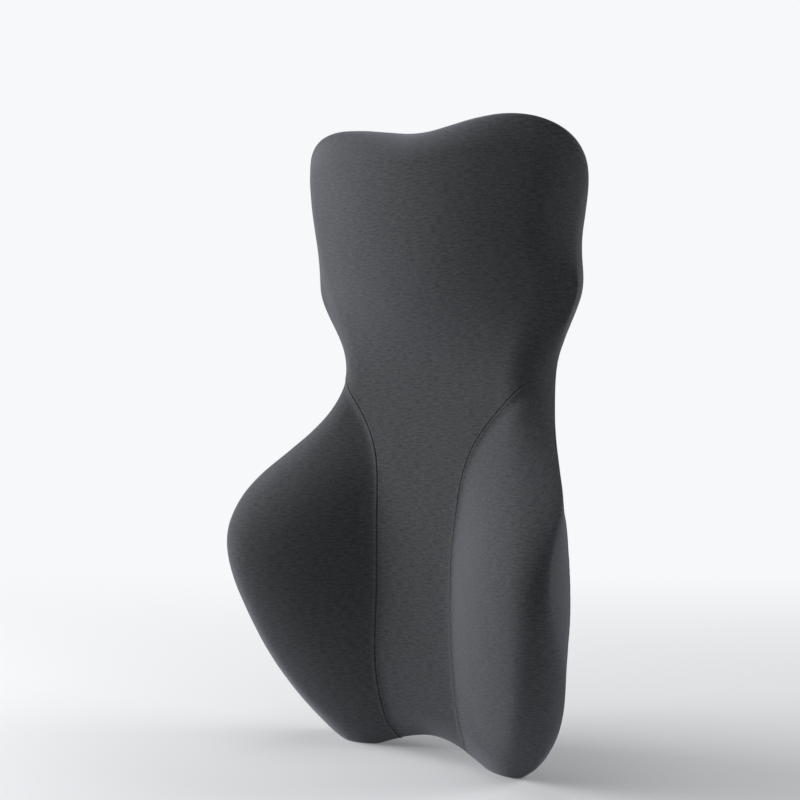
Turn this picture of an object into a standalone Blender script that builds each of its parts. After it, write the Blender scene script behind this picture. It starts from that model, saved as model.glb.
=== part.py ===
"""Lumbar support cushion: foam core, liner, sewn cover with a back zip, and a buckled back strap.

Units are metres. +Z is up, the front of the cushion faces -Y and its left side is at -X.
"Depth" below means the distance forward from the flat back of the cover.
Run with: blender --background --python part.py
"""

from math import pi

import bmesh
import bpy
import numpy as np
from mathutils import Vector
from mathutils.geometry import delaunay_2d_cdt

# ---------------------------------------------------------------- overall sizes
HEIGHT = 0.660
HEAD_WIDTH = 0.342
NECK_WIDTH = 0.323
SHOULDER_WIDTH = 0.3235
WAIST_WIDTH = 0.263
WING_SPAN = 0.395
TOP_DIP = 0.010
ARCH_HEIGHT = 0.019
ARCH_WIDTH = 0.120
FOOT_SPACING = 0.190
FOOT_SINK = 0.0045

# ---------------------------------------------------------------- depths, forward of the back
FOOT_DEPTH = 0.053
LUMBAR_DEPTH = 0.085
WAIST_DEPTH = 0.065
HEAD_DEPTH = 0.1195
HEAD_CROWN = 0.058
WING_RISE = 0.0806
WING_CREST = 0.861
WING_BACK_RISE = 0.108
WING_RIM_DEPTH = 0.1485
SIDE_RIM_DEPTH = 0.024
SHOULDER_RIM_DEPTH = 0.0347
NECK_RIM_DEPTH = 0.0378
HEAD_RIM_DEPTH = 0.0454
TOP_RIM_DEPTH = 0.0785
TOP_RIM_CROWN = 0.0076
FOOT_RIM_DEPTH = 0.060
ARCH_RIM_DEPTH = 0.045
TOP_BACK_TAPER = 0.035
EDGE_RADIUS = 0.0355

# ---------------------------------------------------------------- layers and seams
COVER_THICKNESS = 0.0016
LINER_THICKNESS = 0.0008
LAYER_GAP = 0.0003
FOAM_GAP = 0.0007
SEAM_GAP = 0.0003
SEAM_LUMBAR_WIDTH = 0.093
SEAM_TOP_SHARE = 0.597
PERIMETER_SEAM_INSET = 0.018

# ---------------------------------------------------------------- zip
ZIP_BOTTOM = 0.060
ZIP_LENGTH = 0.265
ZIP_SLOT_WIDTH = 0.018
ZIP_CHAIN_GAP = 0.0012
COIL_WIDTH = 0.0020
COIL_THICKNESS = 0.0014
COIL_PROUD = 0.0005
TOOTH_EASE = 0.0003
TAPE_THICKNESS = 0.0006
ZIP_STOP_LENGTH = 0.003
SLIDER_LENGTH = 0.011
SLIDER_WIDTH = 0.0084
SLIDER_PLATE = 0.0010
SLIDER_WEB = 0.0006
BRIDGE_WIDTH = 0.0020
BRIDGE_LENGTH = 0.0068
BRIDGE_WALL = 0.0008
TAB_LENGTH = 0.026
TAB_WIDTH = 0.0060
TAB_THICKNESS = 0.0012
TAB_RAIL = 0.0014
FIT_GAP = 0.0003

# ---------------------------------------------------------------- strap and buckle
STRAP_Z = 0.448
STRAP_WIDTH = 0.030
STRAP_THICKNESS = 0.0014
STRAP_END_X = 0.106
PATCH_LENGTH = 0.026
PATCH_MARGIN = 0.004
PATCH_THICKNESS = 0.0012
BUCKLE_MOUTH_X = -0.026
BUCKLE_THICKNESS = 0.0092
BUCKLE_CHEEK = 0.0046
BUCKLE_ROUND = 0.0016
BUCKLE_SIDE_PLAY = 0.0009
BAR_RADIUS = 0.00145
BAR_EASE = 0.0004
WEBBING_EASE = 0.0005
SOCKET_LENGTH = 0.034
CAVITY_DEPTH = 0.024
CAVITY_HEIGHT = 0.0052
WINDOW_NEAR = 0.009
WINDOW_FAR = 0.020
ARM_REACH = 0.0195
PLUG_GRIP_LENGTH = 0.0115
PLUG_LENGTH = 0.0215
RECESS_LENGTH = 0.0080
FOLD_LENGTH = 0.030
FOLD_LIFT_X = 0.004
FOLD_FLAT_X = 0.010
RIGHT_FOLD_END_X = 0.076
ADJUSTER_X = 0.038
ADJUSTER_LENGTH = 0.016
ADJUSTER_BAR = 0.0030
ADJUSTER_WALL = 0.0012
ADJUSTER_RAIL = 0.0030
ADJUSTER_EASE = 0.0005
KEEPER_X = 0.064
KEEPER_LENGTH = 0.008
KEEPER_WALL = 0.0010

# ---------------------------------------------------------------- mesh fineness
SAMPLES_PER_SPAN = 3
FILL_SPACING = 0.034
EDGE_ROWS = (0.018, 0.009, 0.003)
BACK_ROWS = (0.003, PERIMETER_SEAM_INSET)
ROD_SEGMENTS = 16
TURN_STEPS = 8
SEAM_STEPS = 16
SLOT_STEPS = 9
CUT_PAST = 0.002

# ---------------------------------------------------------------- derived
HEAD_HALF = HEAD_WIDTH / 2
WING_HALF = WING_SPAN / 2
SEAM_HALF = SEAM_LUMBAR_WIDTH / 2
ZIP_TOP = ZIP_BOTTOM + ZIP_LENGTH
LINER_OFFSET = COVER_THICKNESS + LAYER_GAP
FOAM_OFFSET = LINER_OFFSET + LINER_THICKNESS + FOAM_GAP
RIBBON_DEPTH = -(LAYER_GAP + PATCH_THICKNESS + WEBBING_EASE + STRAP_THICKNESS / 2)
FOLD_DEPTH = RIBBON_DEPTH - STRAP_THICKNESS - LAYER_GAP
BAR_DEPTH = RIBBON_DEPTH - STRAP_THICKNESS / 2 - BAR_EASE - BAR_RADIUS
BUCKLE_BACK = BAR_DEPTH - BUCKLE_THICKNESS / 2
BUCKLE_HALF = STRAP_WIDTH / 2 + 2 * FIT_GAP + BUCKLE_CHEEK
RECESS_HALF = STRAP_WIDTH / 2 + 2 * FIT_GAP

FRONT_CENTRE, WING_LEFT, WING_RIGHT, BACK_LEFT, BACK_RIGHT, ZIP_SLOT = range(6)


# ================================================================ small maths
def natural_spline(knots, x):
    """Values at x of the natural cubic spline through knots, a list of (place, value)."""
    place = np.array([k[0] for k in knots], float)
    value = np.array([k[1] for k in knots], float)
    count = len(place)
    step = np.diff(place)
    matrix = np.eye(count)
    right = np.zeros(count)
    for i in range(1, count - 1):
        matrix[i, i - 1 : i + 2] = step[i - 1], 2 * (step[i - 1] + step[i]), step[i]
        right[i] = 6 * ((value[i + 1] - value[i]) / step[i] - (value[i] - value[i - 1]) / step[i - 1])
    bend = np.linalg.solve(matrix, right)
    x = np.clip(x, place[0], place[-1])
    i = np.clip(np.searchsorted(place, x) - 1, 0, count - 2)
    a = place[i + 1] - x
    b = x - place[i]
    cubic = (bend[i] * a**3 + bend[i + 1] * b**3) / (6 * step[i])
    return cubic + (value[i] / step[i] - bend[i] * step[i] / 6) * a + (
        value[i + 1] / step[i] - bend[i + 1] * step[i] / 6
    ) * b


def smooth_step(x):
    """0 below 0, 1 above 1, and an S curve between."""
    x = np.clip(x, 0.0, 1.0)
    return x * x * (3 - 2 * x)


def dome(share):
    """Quarter circle from 0 at share 0 to 1 at share 1: the roundness of the edge."""
    return np.sqrt(np.clip(1 - (1 - np.clip(share, 0, 1)) ** 2, 0, 1))


# ================================================================ the cushion's form
def outline_points():
    """The right half of the front outline, from the top dip to the arch, as (x, z)."""
    return [
        (0.0, HEIGHT - TOP_DIP),
        (0.18 * HEAD_HALF, HEIGHT - 0.75 * TOP_DIP),
        (0.606 * HEAD_HALF, HEIGHT),
        (0.907 * HEAD_HALF, 0.977 * HEIGHT),
        (HEAD_HALF, 0.927 * HEIGHT),
        (NECK_WIDTH / 2, 0.812 * HEIGHT),
        (SHOULDER_WIDTH / 2, 0.734 * HEIGHT),
        (WAIST_WIDTH / 2, 0.634 * HEIGHT),
        (0.725 * WING_HALF, 0.535 * HEIGHT),
        (0.935 * WING_HALF, 0.450 * HEIGHT),
        (WING_HALF, 0.400 * HEIGHT),
        (WING_HALF, 0.282 * HEIGHT),
        (0.862 * WING_HALF, 0.1045 * HEIGHT),
        (0.638 * WING_HALF, 0.0126 * HEIGHT),
        (0.535 * WING_HALF, -0.6 * FOOT_SINK),
        (FOOT_SPACING / 2, -FOOT_SINK),
        (FOOT_SPACING / 2 - 0.080 * WING_HALF, -0.6 * FOOT_SINK),
        (ARCH_WIDTH / 2 - 0.01 * WING_HALF, 0.27 * ARCH_HEIGHT),
        (0.0, ARCH_HEIGHT),
    ]


def outline(samples_per_span):
    """The closed outline as an (n, 2) array: it starts at the top dip and runs down the right side."""
    right = outline_points()
    left = [(-x, z) for x, z in reversed(right[1:-1])]
    knots = np.array(right + left)
    count = len(knots)
    around = np.vstack([knots, knots, knots, knots[:1]])
    chord = np.linalg.norm(np.diff(np.vstack([knots, knots[:1]]), axis=0), axis=1) ** 0.5
    place = np.concatenate([[0.0], np.cumsum(np.tile(chord, 3))])
    place -= place[count]
    span = np.arange(count * samples_per_span) / samples_per_span
    wanted = np.interp(span, np.arange(count + 1), place[count : 2 * count + 1])
    columns = [natural_spline(list(zip(place, around[:, axis])), wanted) for axis in (0, 1)]
    return np.stack(columns, axis=1)


def seam_x(z):
    """Half the width of the front centre panel at height z."""
    knots = [
        (0.03 * HEIGHT, 0.90 * SEAM_HALF),
        (0.136 * HEIGHT, 1.01 * SEAM_HALF),
        (0.273 * HEIGHT, SEAM_HALF),
        (0.409 * HEIGHT, 1.16 * SEAM_HALF),
        (0.515 * HEIGHT, 1.63 * SEAM_HALF),
        (SEAM_TOP_SHARE * HEIGHT, 0.957 * WAIST_WIDTH / 2),
    ]
    return natural_spline(knots, z)


def reach(z):
    """The half width that the wings' rise is measured over at height z."""
    knots = [
        (0.0, 0.60 * WING_HALF),
        (0.121 * HEIGHT, 0.843 * WING_HALF),
        (0.242 * HEIGHT, WING_HALF),
        (0.379 * HEIGHT, 1.035 * WING_HALF),
        (0.515 * HEIGHT, 0.732 * WING_HALF),
        (0.636 * HEIGHT, 0.626 * WING_HALF),
    ]
    return natural_spline(knots, z)


def front_depth(x, z):
    """Depth of the front surface away from the rounded edge: a wing is highest at its crest."""
    centre = natural_spline(
        [
            (0.0, FOOT_DEPTH),
            (0.121 * HEIGHT, 0.95 * LUMBAR_DEPTH),
            (0.242 * HEIGHT, LUMBAR_DEPTH),
            (0.379 * HEIGHT, 0.965 * LUMBAR_DEPTH),
            (0.515 * HEIGHT, 0.83 * LUMBAR_DEPTH),
            (0.636 * HEIGHT, WAIST_DEPTH),
            (0.788 * HEIGHT, 0.90 * HEAD_DEPTH),
            (0.924 * HEIGHT, HEAD_DEPTH),
            (HEIGHT, 0.98 * HEAD_DEPTH),
        ],
        z,
    )
    shares = [(0.0, 0.25), (0.121, 0.507), (0.242, 0.886), (0.364, 1.0), (0.485, 0.353), (0.606, 0.0), (0.667, 0.0)]
    rise = natural_spline([(place * HEIGHT, WING_RISE * share) for place, share in shares], z)
    across = (np.abs(x) - seam_x(z)) / np.maximum(reach(z) - seam_x(z), 0.1 * WING_HALF)
    wing = rise * np.sin(np.clip(across / WING_CREST, 0, 1.45) * pi / 2)
    head = smooth_step((z / HEIGHT - 0.576) / 0.182)
    return centre + wing - head * HEAD_CROWN * (x / HEAD_HALF) ** 2


def back_depth(x, z):
    """Depth of the back surface away from the rounded edge."""
    shares = [(0.0, 0.08), (0.121, 0.647), (0.242, 0.788), (0.364, 0.942), (0.485, 0.633), (0.606, 0.114), (0.660, 0.0)]
    rise = natural_spline([(place * HEIGHT, WING_BACK_RISE * share) for place, share in shares], z)
    rise = np.where(z < 0.660 * HEIGHT, np.maximum(rise, 0.0), 0.0)
    across = np.clip(np.abs(x) / reach(z), 0, 1.15)
    return rise * across**2 + TOP_BACK_TAPER * smooth_step((z / HEIGHT - 0.848) / 0.152)


def rim_depth(x, z):
    """Depth of the outermost line round the cushion's edge."""
    knots = [
        (0.0, FOOT_RIM_DEPTH),
        (0.121 * HEIGHT, 0.562 * WING_RIM_DEPTH),
        (0.242 * HEIGHT, 0.854 * WING_RIM_DEPTH),
        (0.364 * HEIGHT, WING_RIM_DEPTH),
        (0.485 * HEIGHT, 0.536 * WING_RIM_DEPTH),
        (0.591 * HEIGHT, SIDE_RIM_DEPTH),
        (0.697 * HEIGHT, SHOULDER_RIM_DEPTH),
        (0.818 * HEIGHT, NECK_RIM_DEPTH),
        (0.924 * HEIGHT, HEAD_RIM_DEPTH),
        (HEIGHT, TOP_RIM_DEPTH),
    ]
    crown = TOP_RIM_CROWN * (x / HEAD_HALF) ** 2 * smooth_step((z / HEIGHT - 0.848) / 0.091)
    side = natural_spline(knots, z) - crown
    arch = (1 - smooth_step(np.abs(x) / (1.15 * FOOT_SPACING / 2))) * (z < 0.3 * HEIGHT)
    return side * (1 - arch) + ARCH_RIM_DEPTH * arch


def distance_to(loop, x, z):
    """Distance of each point (x, z) from the nearest side of a closed loop."""
    place = np.stack([x, z], axis=1)[:, None]
    start = loop[None]
    side = np.roll(loop, -1, axis=0)[None] - start
    along = ((place - start) * side).sum(axis=2) / (side**2).sum(axis=2)
    foot = start + np.clip(along, 0, 1)[:, :, None] * side
    return np.linalg.norm(place - foot, axis=2).min(axis=1)


def surface_depth(x, z, inset, back):
    """Depth of the outer surface at (x, z), a distance inset inside the outline."""
    level = np.clip(z, 0.0, HEIGHT)
    rim = rim_depth(x, level)
    face = back_depth(x, level) if back else front_depth(x, level)
    return rim + (face - rim) * dome(inset / EDGE_RADIUS)


# ================================================================ the cushion's mesh plan
def inward_normals(loop):
    """Unit vectors pointing into the outline at each of its samples (the loop runs clockwise)."""
    along = np.roll(loop, -1, axis=0) - np.roll(loop, 1, axis=0)
    along /= np.linalg.norm(along, axis=1)[:, None]
    return np.stack([along[:, 1], -along[:, 0]], axis=1)


def inside(points, polygon):
    """True for each point that lies inside the polygon, by counting edge crossings."""
    result = np.zeros(len(points), bool)
    ends = np.roll(polygon, -1, axis=0)
    for (x0, z0), (x1, z1) in zip(polygon, ends):
        if z0 == z1:
            continue
        crosses = (z0 > points[:, 1]) != (z1 > points[:, 1])
        result ^= crosses & (points[:, 0] < (x1 - x0) * (points[:, 1] - z0) / (z1 - z0) + x0)
    return result


def fill_points(ring, lines):
    """A staggered grid of points inside the ring, clear of the ring and of the lines."""
    kept = np.vstack([ring] + lines)
    rows = np.arange(0.0, HEIGHT, FILL_SPACING * 0.87)
    points = []
    for number, z in enumerate(rows):
        shift = 0.5 * FILL_SPACING * (number % 2)
        columns = np.arange(-WING_HALF, WING_HALF, FILL_SPACING) + shift
        points += [(x, z) for x in columns]
    points = np.array(points)
    points = points[inside(points, ring)]
    near = np.linalg.norm(points[:, None] - kept[None], axis=2).min(axis=1)
    return points[near > 0.62 * FILL_SPACING]


def triangulate(ring, lines):
    """Fill the ring with triangles that keep each line as edges. Gives (points, triangles)."""
    points = [tuple(p) for p in ring]
    edges = [(i, (i + 1) % len(ring)) for i in range(len(ring))]
    for line in lines:
        numbers = []
        for p in line:
            near = [i for i, q in enumerate(points) if abs(q[0] - p[0]) + abs(q[1] - p[1]) < 1e-7]
            numbers.append(near[0] if near else len(points))
            if not near:
                points.append(tuple(p))
        edges += list(zip(numbers, numbers[1:]))
    points += [tuple(p) for p in fill_points(ring, lines)]
    vectors = [Vector(p) for p in points]
    found, _, faces, _, _, _ = delaunay_2d_cdt(vectors, edges, [], 0, 1e-7)
    places = np.array([tuple(p) for p in found])
    centres = np.array([places[list(face)].mean(axis=0) for face in faces])
    within = inside(centres, ring)
    return places, [tuple(face) for face, keep in zip(faces, within) if keep]


def front_lines(ring, waist, arch, count):
    """The two front seams as lines from the waist columns to the arch columns of the ring."""
    lines = []
    for column_top, column_bottom in ((waist, arch), (count - waist, count - arch)):
        top, bottom = ring[column_top], ring[column_bottom]
        side = np.sign(top[0])
        z = np.linspace(top[1], bottom[1], SEAM_STEPS)
        x = side * seam_x(z)
        slide = np.linspace(0, 1, SEAM_STEPS)
        shift = (top[0] - x[0]) * (1 - slide) ** 3 + (bottom[0] - x[-1]) * slide**3
        lines.append(np.stack([x + shift, z], axis=1))
    return lines


def back_lines(ring, count):
    """The centre back seam, above and below the zip slot, and the slot's own edge."""
    half = ZIP_SLOT_WIDTH / 2
    top, bottom = ring[0], ring[count // 2]
    upper = np.stack([np.zeros(SLOT_STEPS), np.linspace(top[1], ZIP_TOP, SLOT_STEPS)], axis=1)
    lower = np.array([[0.0, ZIP_BOTTOM], [0.0, bottom[1]]])
    z = np.linspace(ZIP_TOP, ZIP_BOTTOM, SLOT_STEPS)
    right = np.stack([np.full(SLOT_STEPS, half), z], axis=1)
    left = np.stack([np.full(SLOT_STEPS, -half), z[::-1]], axis=1)
    slot = np.vstack([[[0.0, ZIP_TOP]], right, [[0.0, ZIP_BOTTOM]], left, [[0.0, ZIP_TOP]]])
    return [upper, lower, slot]


def panel_of_column(column, waist, arch, count):
    """The front panel that the rounded edge belongs to between this column and the next."""
    if waist <= column < arch:
        return WING_RIGHT
    if count - arch <= column < count - waist:
        return WING_LEFT
    return FRONT_CENTRE


def front_panel_at(x, z, seam):
    """The front panel at a point of the front's middle; seam is the right seam, top to bottom."""
    if z > seam[0, 1] or abs(x) < np.interp(z, seam[::-1, 1], seam[::-1, 0]):
        return FRONT_CENTRE
    return WING_RIGHT if x > 0 else WING_LEFT


def back_panel_at(x, z):
    """The back panel at a point of the back's middle, or the zip's slot."""
    if abs(x) < ZIP_SLOT_WIDTH / 2 and ZIP_BOTTOM < z < ZIP_TOP:
        return ZIP_SLOT
    return BACK_RIGHT if x > 0 else BACK_LEFT


def cushion_surface():
    """The cover's outer surface, closed: points (x, depth, z), faces, and each face's panel."""
    loop = outline(SAMPLES_PER_SPAN)
    count = len(loop)
    normals = inward_normals(loop)
    right_side = np.arange(count) < count // 2
    waist = int(np.argmin(np.abs(loop[:, 1] - SEAM_TOP_SHARE * HEIGHT) + ~right_side))
    low = right_side & (loop[:, 1] < 0.1 * HEIGHT)
    arch = int(np.argmin(np.abs(loop[:, 0] - 0.9 * SEAM_HALF) + ~low))

    rows = [(inset, False) for inset in EDGE_ROWS] + [(0.0, False)] + [(inset, True) for inset in BACK_ROWS]
    points = []
    for inset, back in rows:
        place = loop + normals * inset
        depth = surface_depth(place[:, 0], place[:, 1], inset, back)
        points.append(np.stack([place[:, 0], depth, np.maximum(place[:, 1], 0.0)], axis=1))
    faces, panels = [], []
    for row in range(len(rows) - 1):
        for column in range(count):
            after = (column + 1) % count
            near, far = row * count, (row + 1) * count
            faces.append((near + column, far + column, far + after))
            faces.append((near + column, far + after, near + after))
            panels += 2 * [panel_of_column(column, waist, arch, count)]

    total = count * len(rows)
    for back in (False, True):
        inset = BACK_ROWS[-1] if back else EDGE_ROWS[0]
        ring = loop + normals * inset
        lines = back_lines(ring, count) if back else front_lines(ring, waist, arch, count)
        places, triangles = triangulate(ring, lines)
        first = count * (len(rows) - 1) if back else 0
        number = []
        extra = []
        for place in places:
            gap = np.linalg.norm(ring - place, axis=1)
            nearest = int(np.argmin(gap))
            if gap[nearest] < 1e-6:
                number.append(first + nearest)
            else:
                number.append(total + len(extra))
                extra.append(place)
        extra = np.array(extra)
        inset = distance_to(loop, extra[:, 0], extra[:, 1])
        depth = surface_depth(extra[:, 0], extra[:, 1], inset, back)
        points.append(np.stack([extra[:, 0], depth, extra[:, 1]], axis=1))
        total += len(extra)
        for triangle in triangles:
            x, z = places[list(triangle)].mean(axis=0)
            faces.append(tuple(number[i] for i in triangle))
            panels.append(back_panel_at(x, z) if back else front_panel_at(x, z, lines[0]))
    return np.vstack(points), faces, panels


SURFACE_POINTS, SURFACE_FACES, SURFACE_PANELS = cushion_surface()
BACK_Y = (SURFACE_POINTS[:, 1].max() + BUCKLE_BACK) / 2


def at(x, depth, z):
    """A point of the shared frame from its x, its depth forward of the back, and its height."""
    return Vector((x, BACK_Y - depth, z))


# ================================================================ Blender helpers
def clear_scene():
    """Remove every object that the file starts with."""
    for item in list(bpy.data.objects):
        bpy.data.objects.remove(item, do_unlink=True)


def material(name, colour, roughness, metallic=0.0):
    """A plain Principled material."""
    made = bpy.data.materials.new(name)
    made.use_nodes = True
    shader = made.node_tree.nodes["Principled BSDF"]
    shader.inputs["Base Color"].default_value = (*colour, 1.0)
    shader.inputs["Roughness"].default_value = roughness
    shader.inputs["Metallic"].default_value = metallic
    made.diffuse_color = (*colour, 1.0)
    return made


def face_out(bm):
    """Turn a closed bmesh's faces outwards."""
    bmesh.ops.recalc_face_normals(bm, faces=bm.faces)
    if bm.calc_volume(signed=True) < 0:
        bmesh.ops.reverse_faces(bm, faces=bm.faces)
    bm.normal_update()


def object_from(bm, name, look=None, origin=None):
    """Turn a bmesh into an object whose origin is at the given place."""
    face_out(bm)
    if origin is not None:
        bmesh.ops.translate(bm, verts=bm.verts, vec=-origin)
    mesh = bpy.data.meshes.new(name)
    bm.to_mesh(mesh)
    bm.free()
    if look is not None:
        mesh.materials.append(look)
    made = bpy.data.objects.new(name, mesh)
    if origin is not None:
        made.location = origin
    bpy.context.scene.collection.objects.link(made)
    return made


def box(bm, low, high):
    """Add a box between two corners given as (x, depth, z)."""
    a, b = at(*low), at(*high)
    made = bmesh.ops.create_cube(bm, size=1.0)["verts"]
    size = Vector([abs(b[i] - a[i]) for i in range(3)])
    bmesh.ops.scale(bm, verts=made, vec=size)
    bmesh.ops.translate(bm, verts=made, vec=(a + b) / 2)
    return made


def prism(bm, profile, towards):
    """Add a solid by extruding a flat closed profile of points."""
    face = bm.faces.new([bm.verts.new(p) for p in profile])
    grown = bmesh.ops.extrude_face_region(bm, geom=[face], use_keep_orig=True)["geom"]
    moved = [v for v in grown if isinstance(v, bmesh.types.BMVert)]
    bmesh.ops.translate(bm, verts=moved, vec=towards)


def rod(bm, centre, radius, length):
    """Add a cylinder along Z."""
    made = bmesh.ops.create_cone(
        bm, cap_ends=True, segments=ROD_SEGMENTS, radius1=radius, radius2=radius, depth=length
    )["verts"]
    bmesh.ops.translate(bm, verts=made, vec=centre)


def boolean(target, tool, operation):
    """Cut or join a tool object into the target, and hide the tool."""
    tool.hide_render = True
    tool.display_type = "WIRE"
    step = target.modifiers.new(operation.title(), "BOOLEAN")
    step.operation = operation
    step.solver = "EXACT"
    step.object = tool


def bevel(target, width, segments=1):
    """Round the target's sharp edges a little."""
    step = target.modifiers.new("Edges", "BEVEL")
    step.width = width
    step.segments = segments
    step.limit_method = "ANGLE"
    step.angle_limit = pi / 4


# ================================================================ layers of the cushion
def closed_surface(offset):
    """The cushion's closed surface, a distance inside the cover's outside, and each point's way in."""
    bm = bmesh.new()
    verts = [bm.verts.new(at(*p)) for p in SURFACE_POINTS]
    layer = bm.faces.layers.int.new("panel")
    for numbers, panel in zip(SURFACE_FACES, SURFACE_PANELS):
        bm.faces.new([verts[i] for i in numbers])[layer] = panel
    face_out(bm)
    inward = {v: -v.normal.copy() for v in bm.verts}
    for v, direction in inward.items():
        v.co += direction * offset
    bm.normal_update()
    return bm, inward


def sheet_of(panels, offset, thickness, edge_gap):
    """A closed cloth piece: the faces of some panels, thickened inwards, its edges drawn back."""
    bm, inward = closed_surface(offset)
    layer = bm.faces.layers.int["panel"]
    drop = [f for f in bm.faces if f[layer] not in panels]
    bmesh.ops.delete(bm, geom=drop, context="FACES")
    draw_back_edges(bm, edge_gap)
    inward = {v: direction for v, direction in inward.items() if v.is_valid}
    outer = list(bm.verts)
    inner = {v: bm.verts.new(v.co + inward[v] * thickness) for v in outer}
    faces = list(bm.faces)
    rims = [e for e in bm.edges if e.is_boundary]
    for face in faces:
        bm.faces.new([inner[v] for v in reversed(face.verts)])
    for edge in rims:
        a, b = edge.verts
        bm.faces.new([a, b, inner[b], inner[a]])
    return bm


def draw_back_edges(bm, distance):
    """Move the open edges of a patch into it, square to the edge."""
    if not distance:
        return
    moves = {}
    for v in bm.verts:
        push = Vector()
        for edge in v.link_edges:
            if not edge.is_boundary:
                continue
            face = edge.link_faces[0]
            along = (edge.verts[1].co - edge.verts[0].co).normalized()
            across = along.cross(face.normal).normalized()
            towards = face.calc_center_median() - edge.verts[0].co
            push += across if across.dot(towards) > 0 else -across
        if push.length:
            moves[v] = push.normalized() * distance / max(push.length / 2, 0.5)
    for v, move in moves.items():
        v.co += move


def build_soft_layers(looks):
    """The foam core, its liner, and the five cloth panels of the cover."""
    foam = object_from(closed_surface(FOAM_OFFSET)[0], "foam_core", looks["foam"])
    every_panel = (FRONT_CENTRE, WING_LEFT, WING_RIGHT, BACK_LEFT, BACK_RIGHT)
    liner = sheet_of(every_panel, LINER_OFFSET, LINER_THICKNESS, 0.0)
    made = [foam, object_from(liner, "inner_liner", looks["liner"])]
    names = {
        "front_centre_panel": FRONT_CENTRE,
        "wing_panel_left": WING_LEFT,
        "wing_panel_right": WING_RIGHT,
        "back_panel_left": BACK_LEFT,
        "back_panel_right": BACK_RIGHT,
    }
    for name, panel in names.items():
        cloth = sheet_of((panel,), 0.0, COVER_THICKNESS, SEAM_GAP / 2)
        made.append(object_from(cloth, name, looks["cover"]))
    for item in made:
        item.data.shade_smooth()


# ================================================================ zip
COIL_OUTER = -COIL_PROUD
COIL_INNER = COIL_THICKNESS - COIL_PROUD
SLIDER_TOP_Z = ZIP_TOP - FIT_GAP - ZIP_STOP_LENGTH - 2 * FIT_GAP
SLIDER_FACE = COIL_OUTER - FIT_GAP - SLIDER_PLATE
TAB_AXIS_DEPTH = SLIDER_FACE - FIT_GAP - 0.75 * TAB_THICKNESS
TAB_AXIS_Z = SLIDER_TOP_Z - SLIDER_LENGTH / 2


def build_zip_tapes(looks):
    """The two woven tapes and, on their inner edges, the two rows of teeth."""
    slot_edge = ZIP_SLOT_WIDTH / 2 - FIT_GAP
    coil_near = ZIP_CHAIN_GAP / 2
    coil_far = coil_near + COIL_WIDTH
    tape_outer = COIL_INNER - TAPE_THICKNESS
    for side, word in ((-1, "left"), (1, "right")):
        tape = bmesh.new()
        low = (side * (coil_far + FIT_GAP), tape_outer, ZIP_BOTTOM + FIT_GAP)
        box(tape, low, (side * slot_edge, COIL_INNER, ZIP_TOP - FIT_GAP))
        object_from(tape, f"zip_tape_{word}", looks["tape"])
        coil = bmesh.new()
        start = ZIP_BOTTOM + ZIP_STOP_LENGTH + 2 * FIT_GAP
        low = (side * coil_near, COIL_OUTER, start)
        box(coil, low, (side * coil_far, COIL_INNER, SLIDER_TOP_Z))
        made = object_from(coil, f"zip_coil_{word}", looks["coil"])
        bevel(made, TOOTH_EASE)


def build_zip_stops(looks):
    """The metal stops past the two ends of the teeth."""
    half = ZIP_CHAIN_GAP / 2 + COIL_WIDTH
    spans = {
        "zip_top_stop": (ZIP_TOP - FIT_GAP - ZIP_STOP_LENGTH, ZIP_TOP - FIT_GAP),
        "zip_bottom_stop": (ZIP_BOTTOM + FIT_GAP, ZIP_BOTTOM + FIT_GAP + ZIP_STOP_LENGTH),
    }
    for name, (low, high) in spans.items():
        stop = bmesh.new()
        box(stop, (-half, COIL_OUTER, low), (half, COIL_INNER, high))
        made = object_from(stop, name, looks["metal"])
        bevel(made, TOOTH_EASE)


def slider_profile(z):
    """The slider's I section: a plate outside the teeth, a web between them, a plate inside."""
    half = SLIDER_WIDTH / 2
    web = SLIDER_WEB / 2
    outer_low = COIL_OUTER - FIT_GAP
    inner_high = COIL_INNER + FIT_GAP
    face = SLIDER_FACE
    rear = inner_high + SLIDER_PLATE
    corners = [(-half, face), (half, face), (half, outer_low), (web, outer_low), (web, inner_high)]
    corners += [(half, inner_high), (half, rear), (-half, rear), (-half, inner_high)]
    corners += [(-web, inner_high), (-web, outer_low), (-half, outer_low)]
    return [at(x, depth, z) for x, depth in corners]


def bridge_profile(x):
    """The arch over the pull tab's crossbar, as a strip seen from the side."""
    rise = 2 * abs(TAB_AXIS_DEPTH - SLIDER_FACE)
    outer = BRIDGE_LENGTH / 2
    inner = outer - BRIDGE_WALL
    root = SLIDER_FACE + SLIDER_PLATE / 2
    top = SLIDER_FACE - rise
    corners = [(-outer, root), (-outer, top), (-inner, top - BRIDGE_WALL), (inner, top - BRIDGE_WALL)]
    corners += [(outer, top), (outer, root), (inner, root), (inner, top), (-inner, top), (-inner, root)]
    return [at(x, depth, TAB_AXIS_Z + along) for along, depth in corners]


def build_slider(looks):
    """The zip slider, its origin on the line it slides along."""
    origin = at(0.0, SLIDER_FACE, TAB_AXIS_Z)
    body = bmesh.new()
    prism(body, slider_profile(SLIDER_TOP_Z - SLIDER_LENGTH - FIT_GAP), Vector((0, 0, SLIDER_LENGTH)))
    slider = object_from(body, "zip_slider", looks["metal"], origin)
    arch = bmesh.new()
    prism(arch, bridge_profile(-BRIDGE_WIDTH / 2), Vector((BRIDGE_WIDTH, 0, 0)))
    tool = object_from(arch, "slider_bridge_tool", looks["metal"])
    boolean(slider, tool, "UNION")
    return slider


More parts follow.
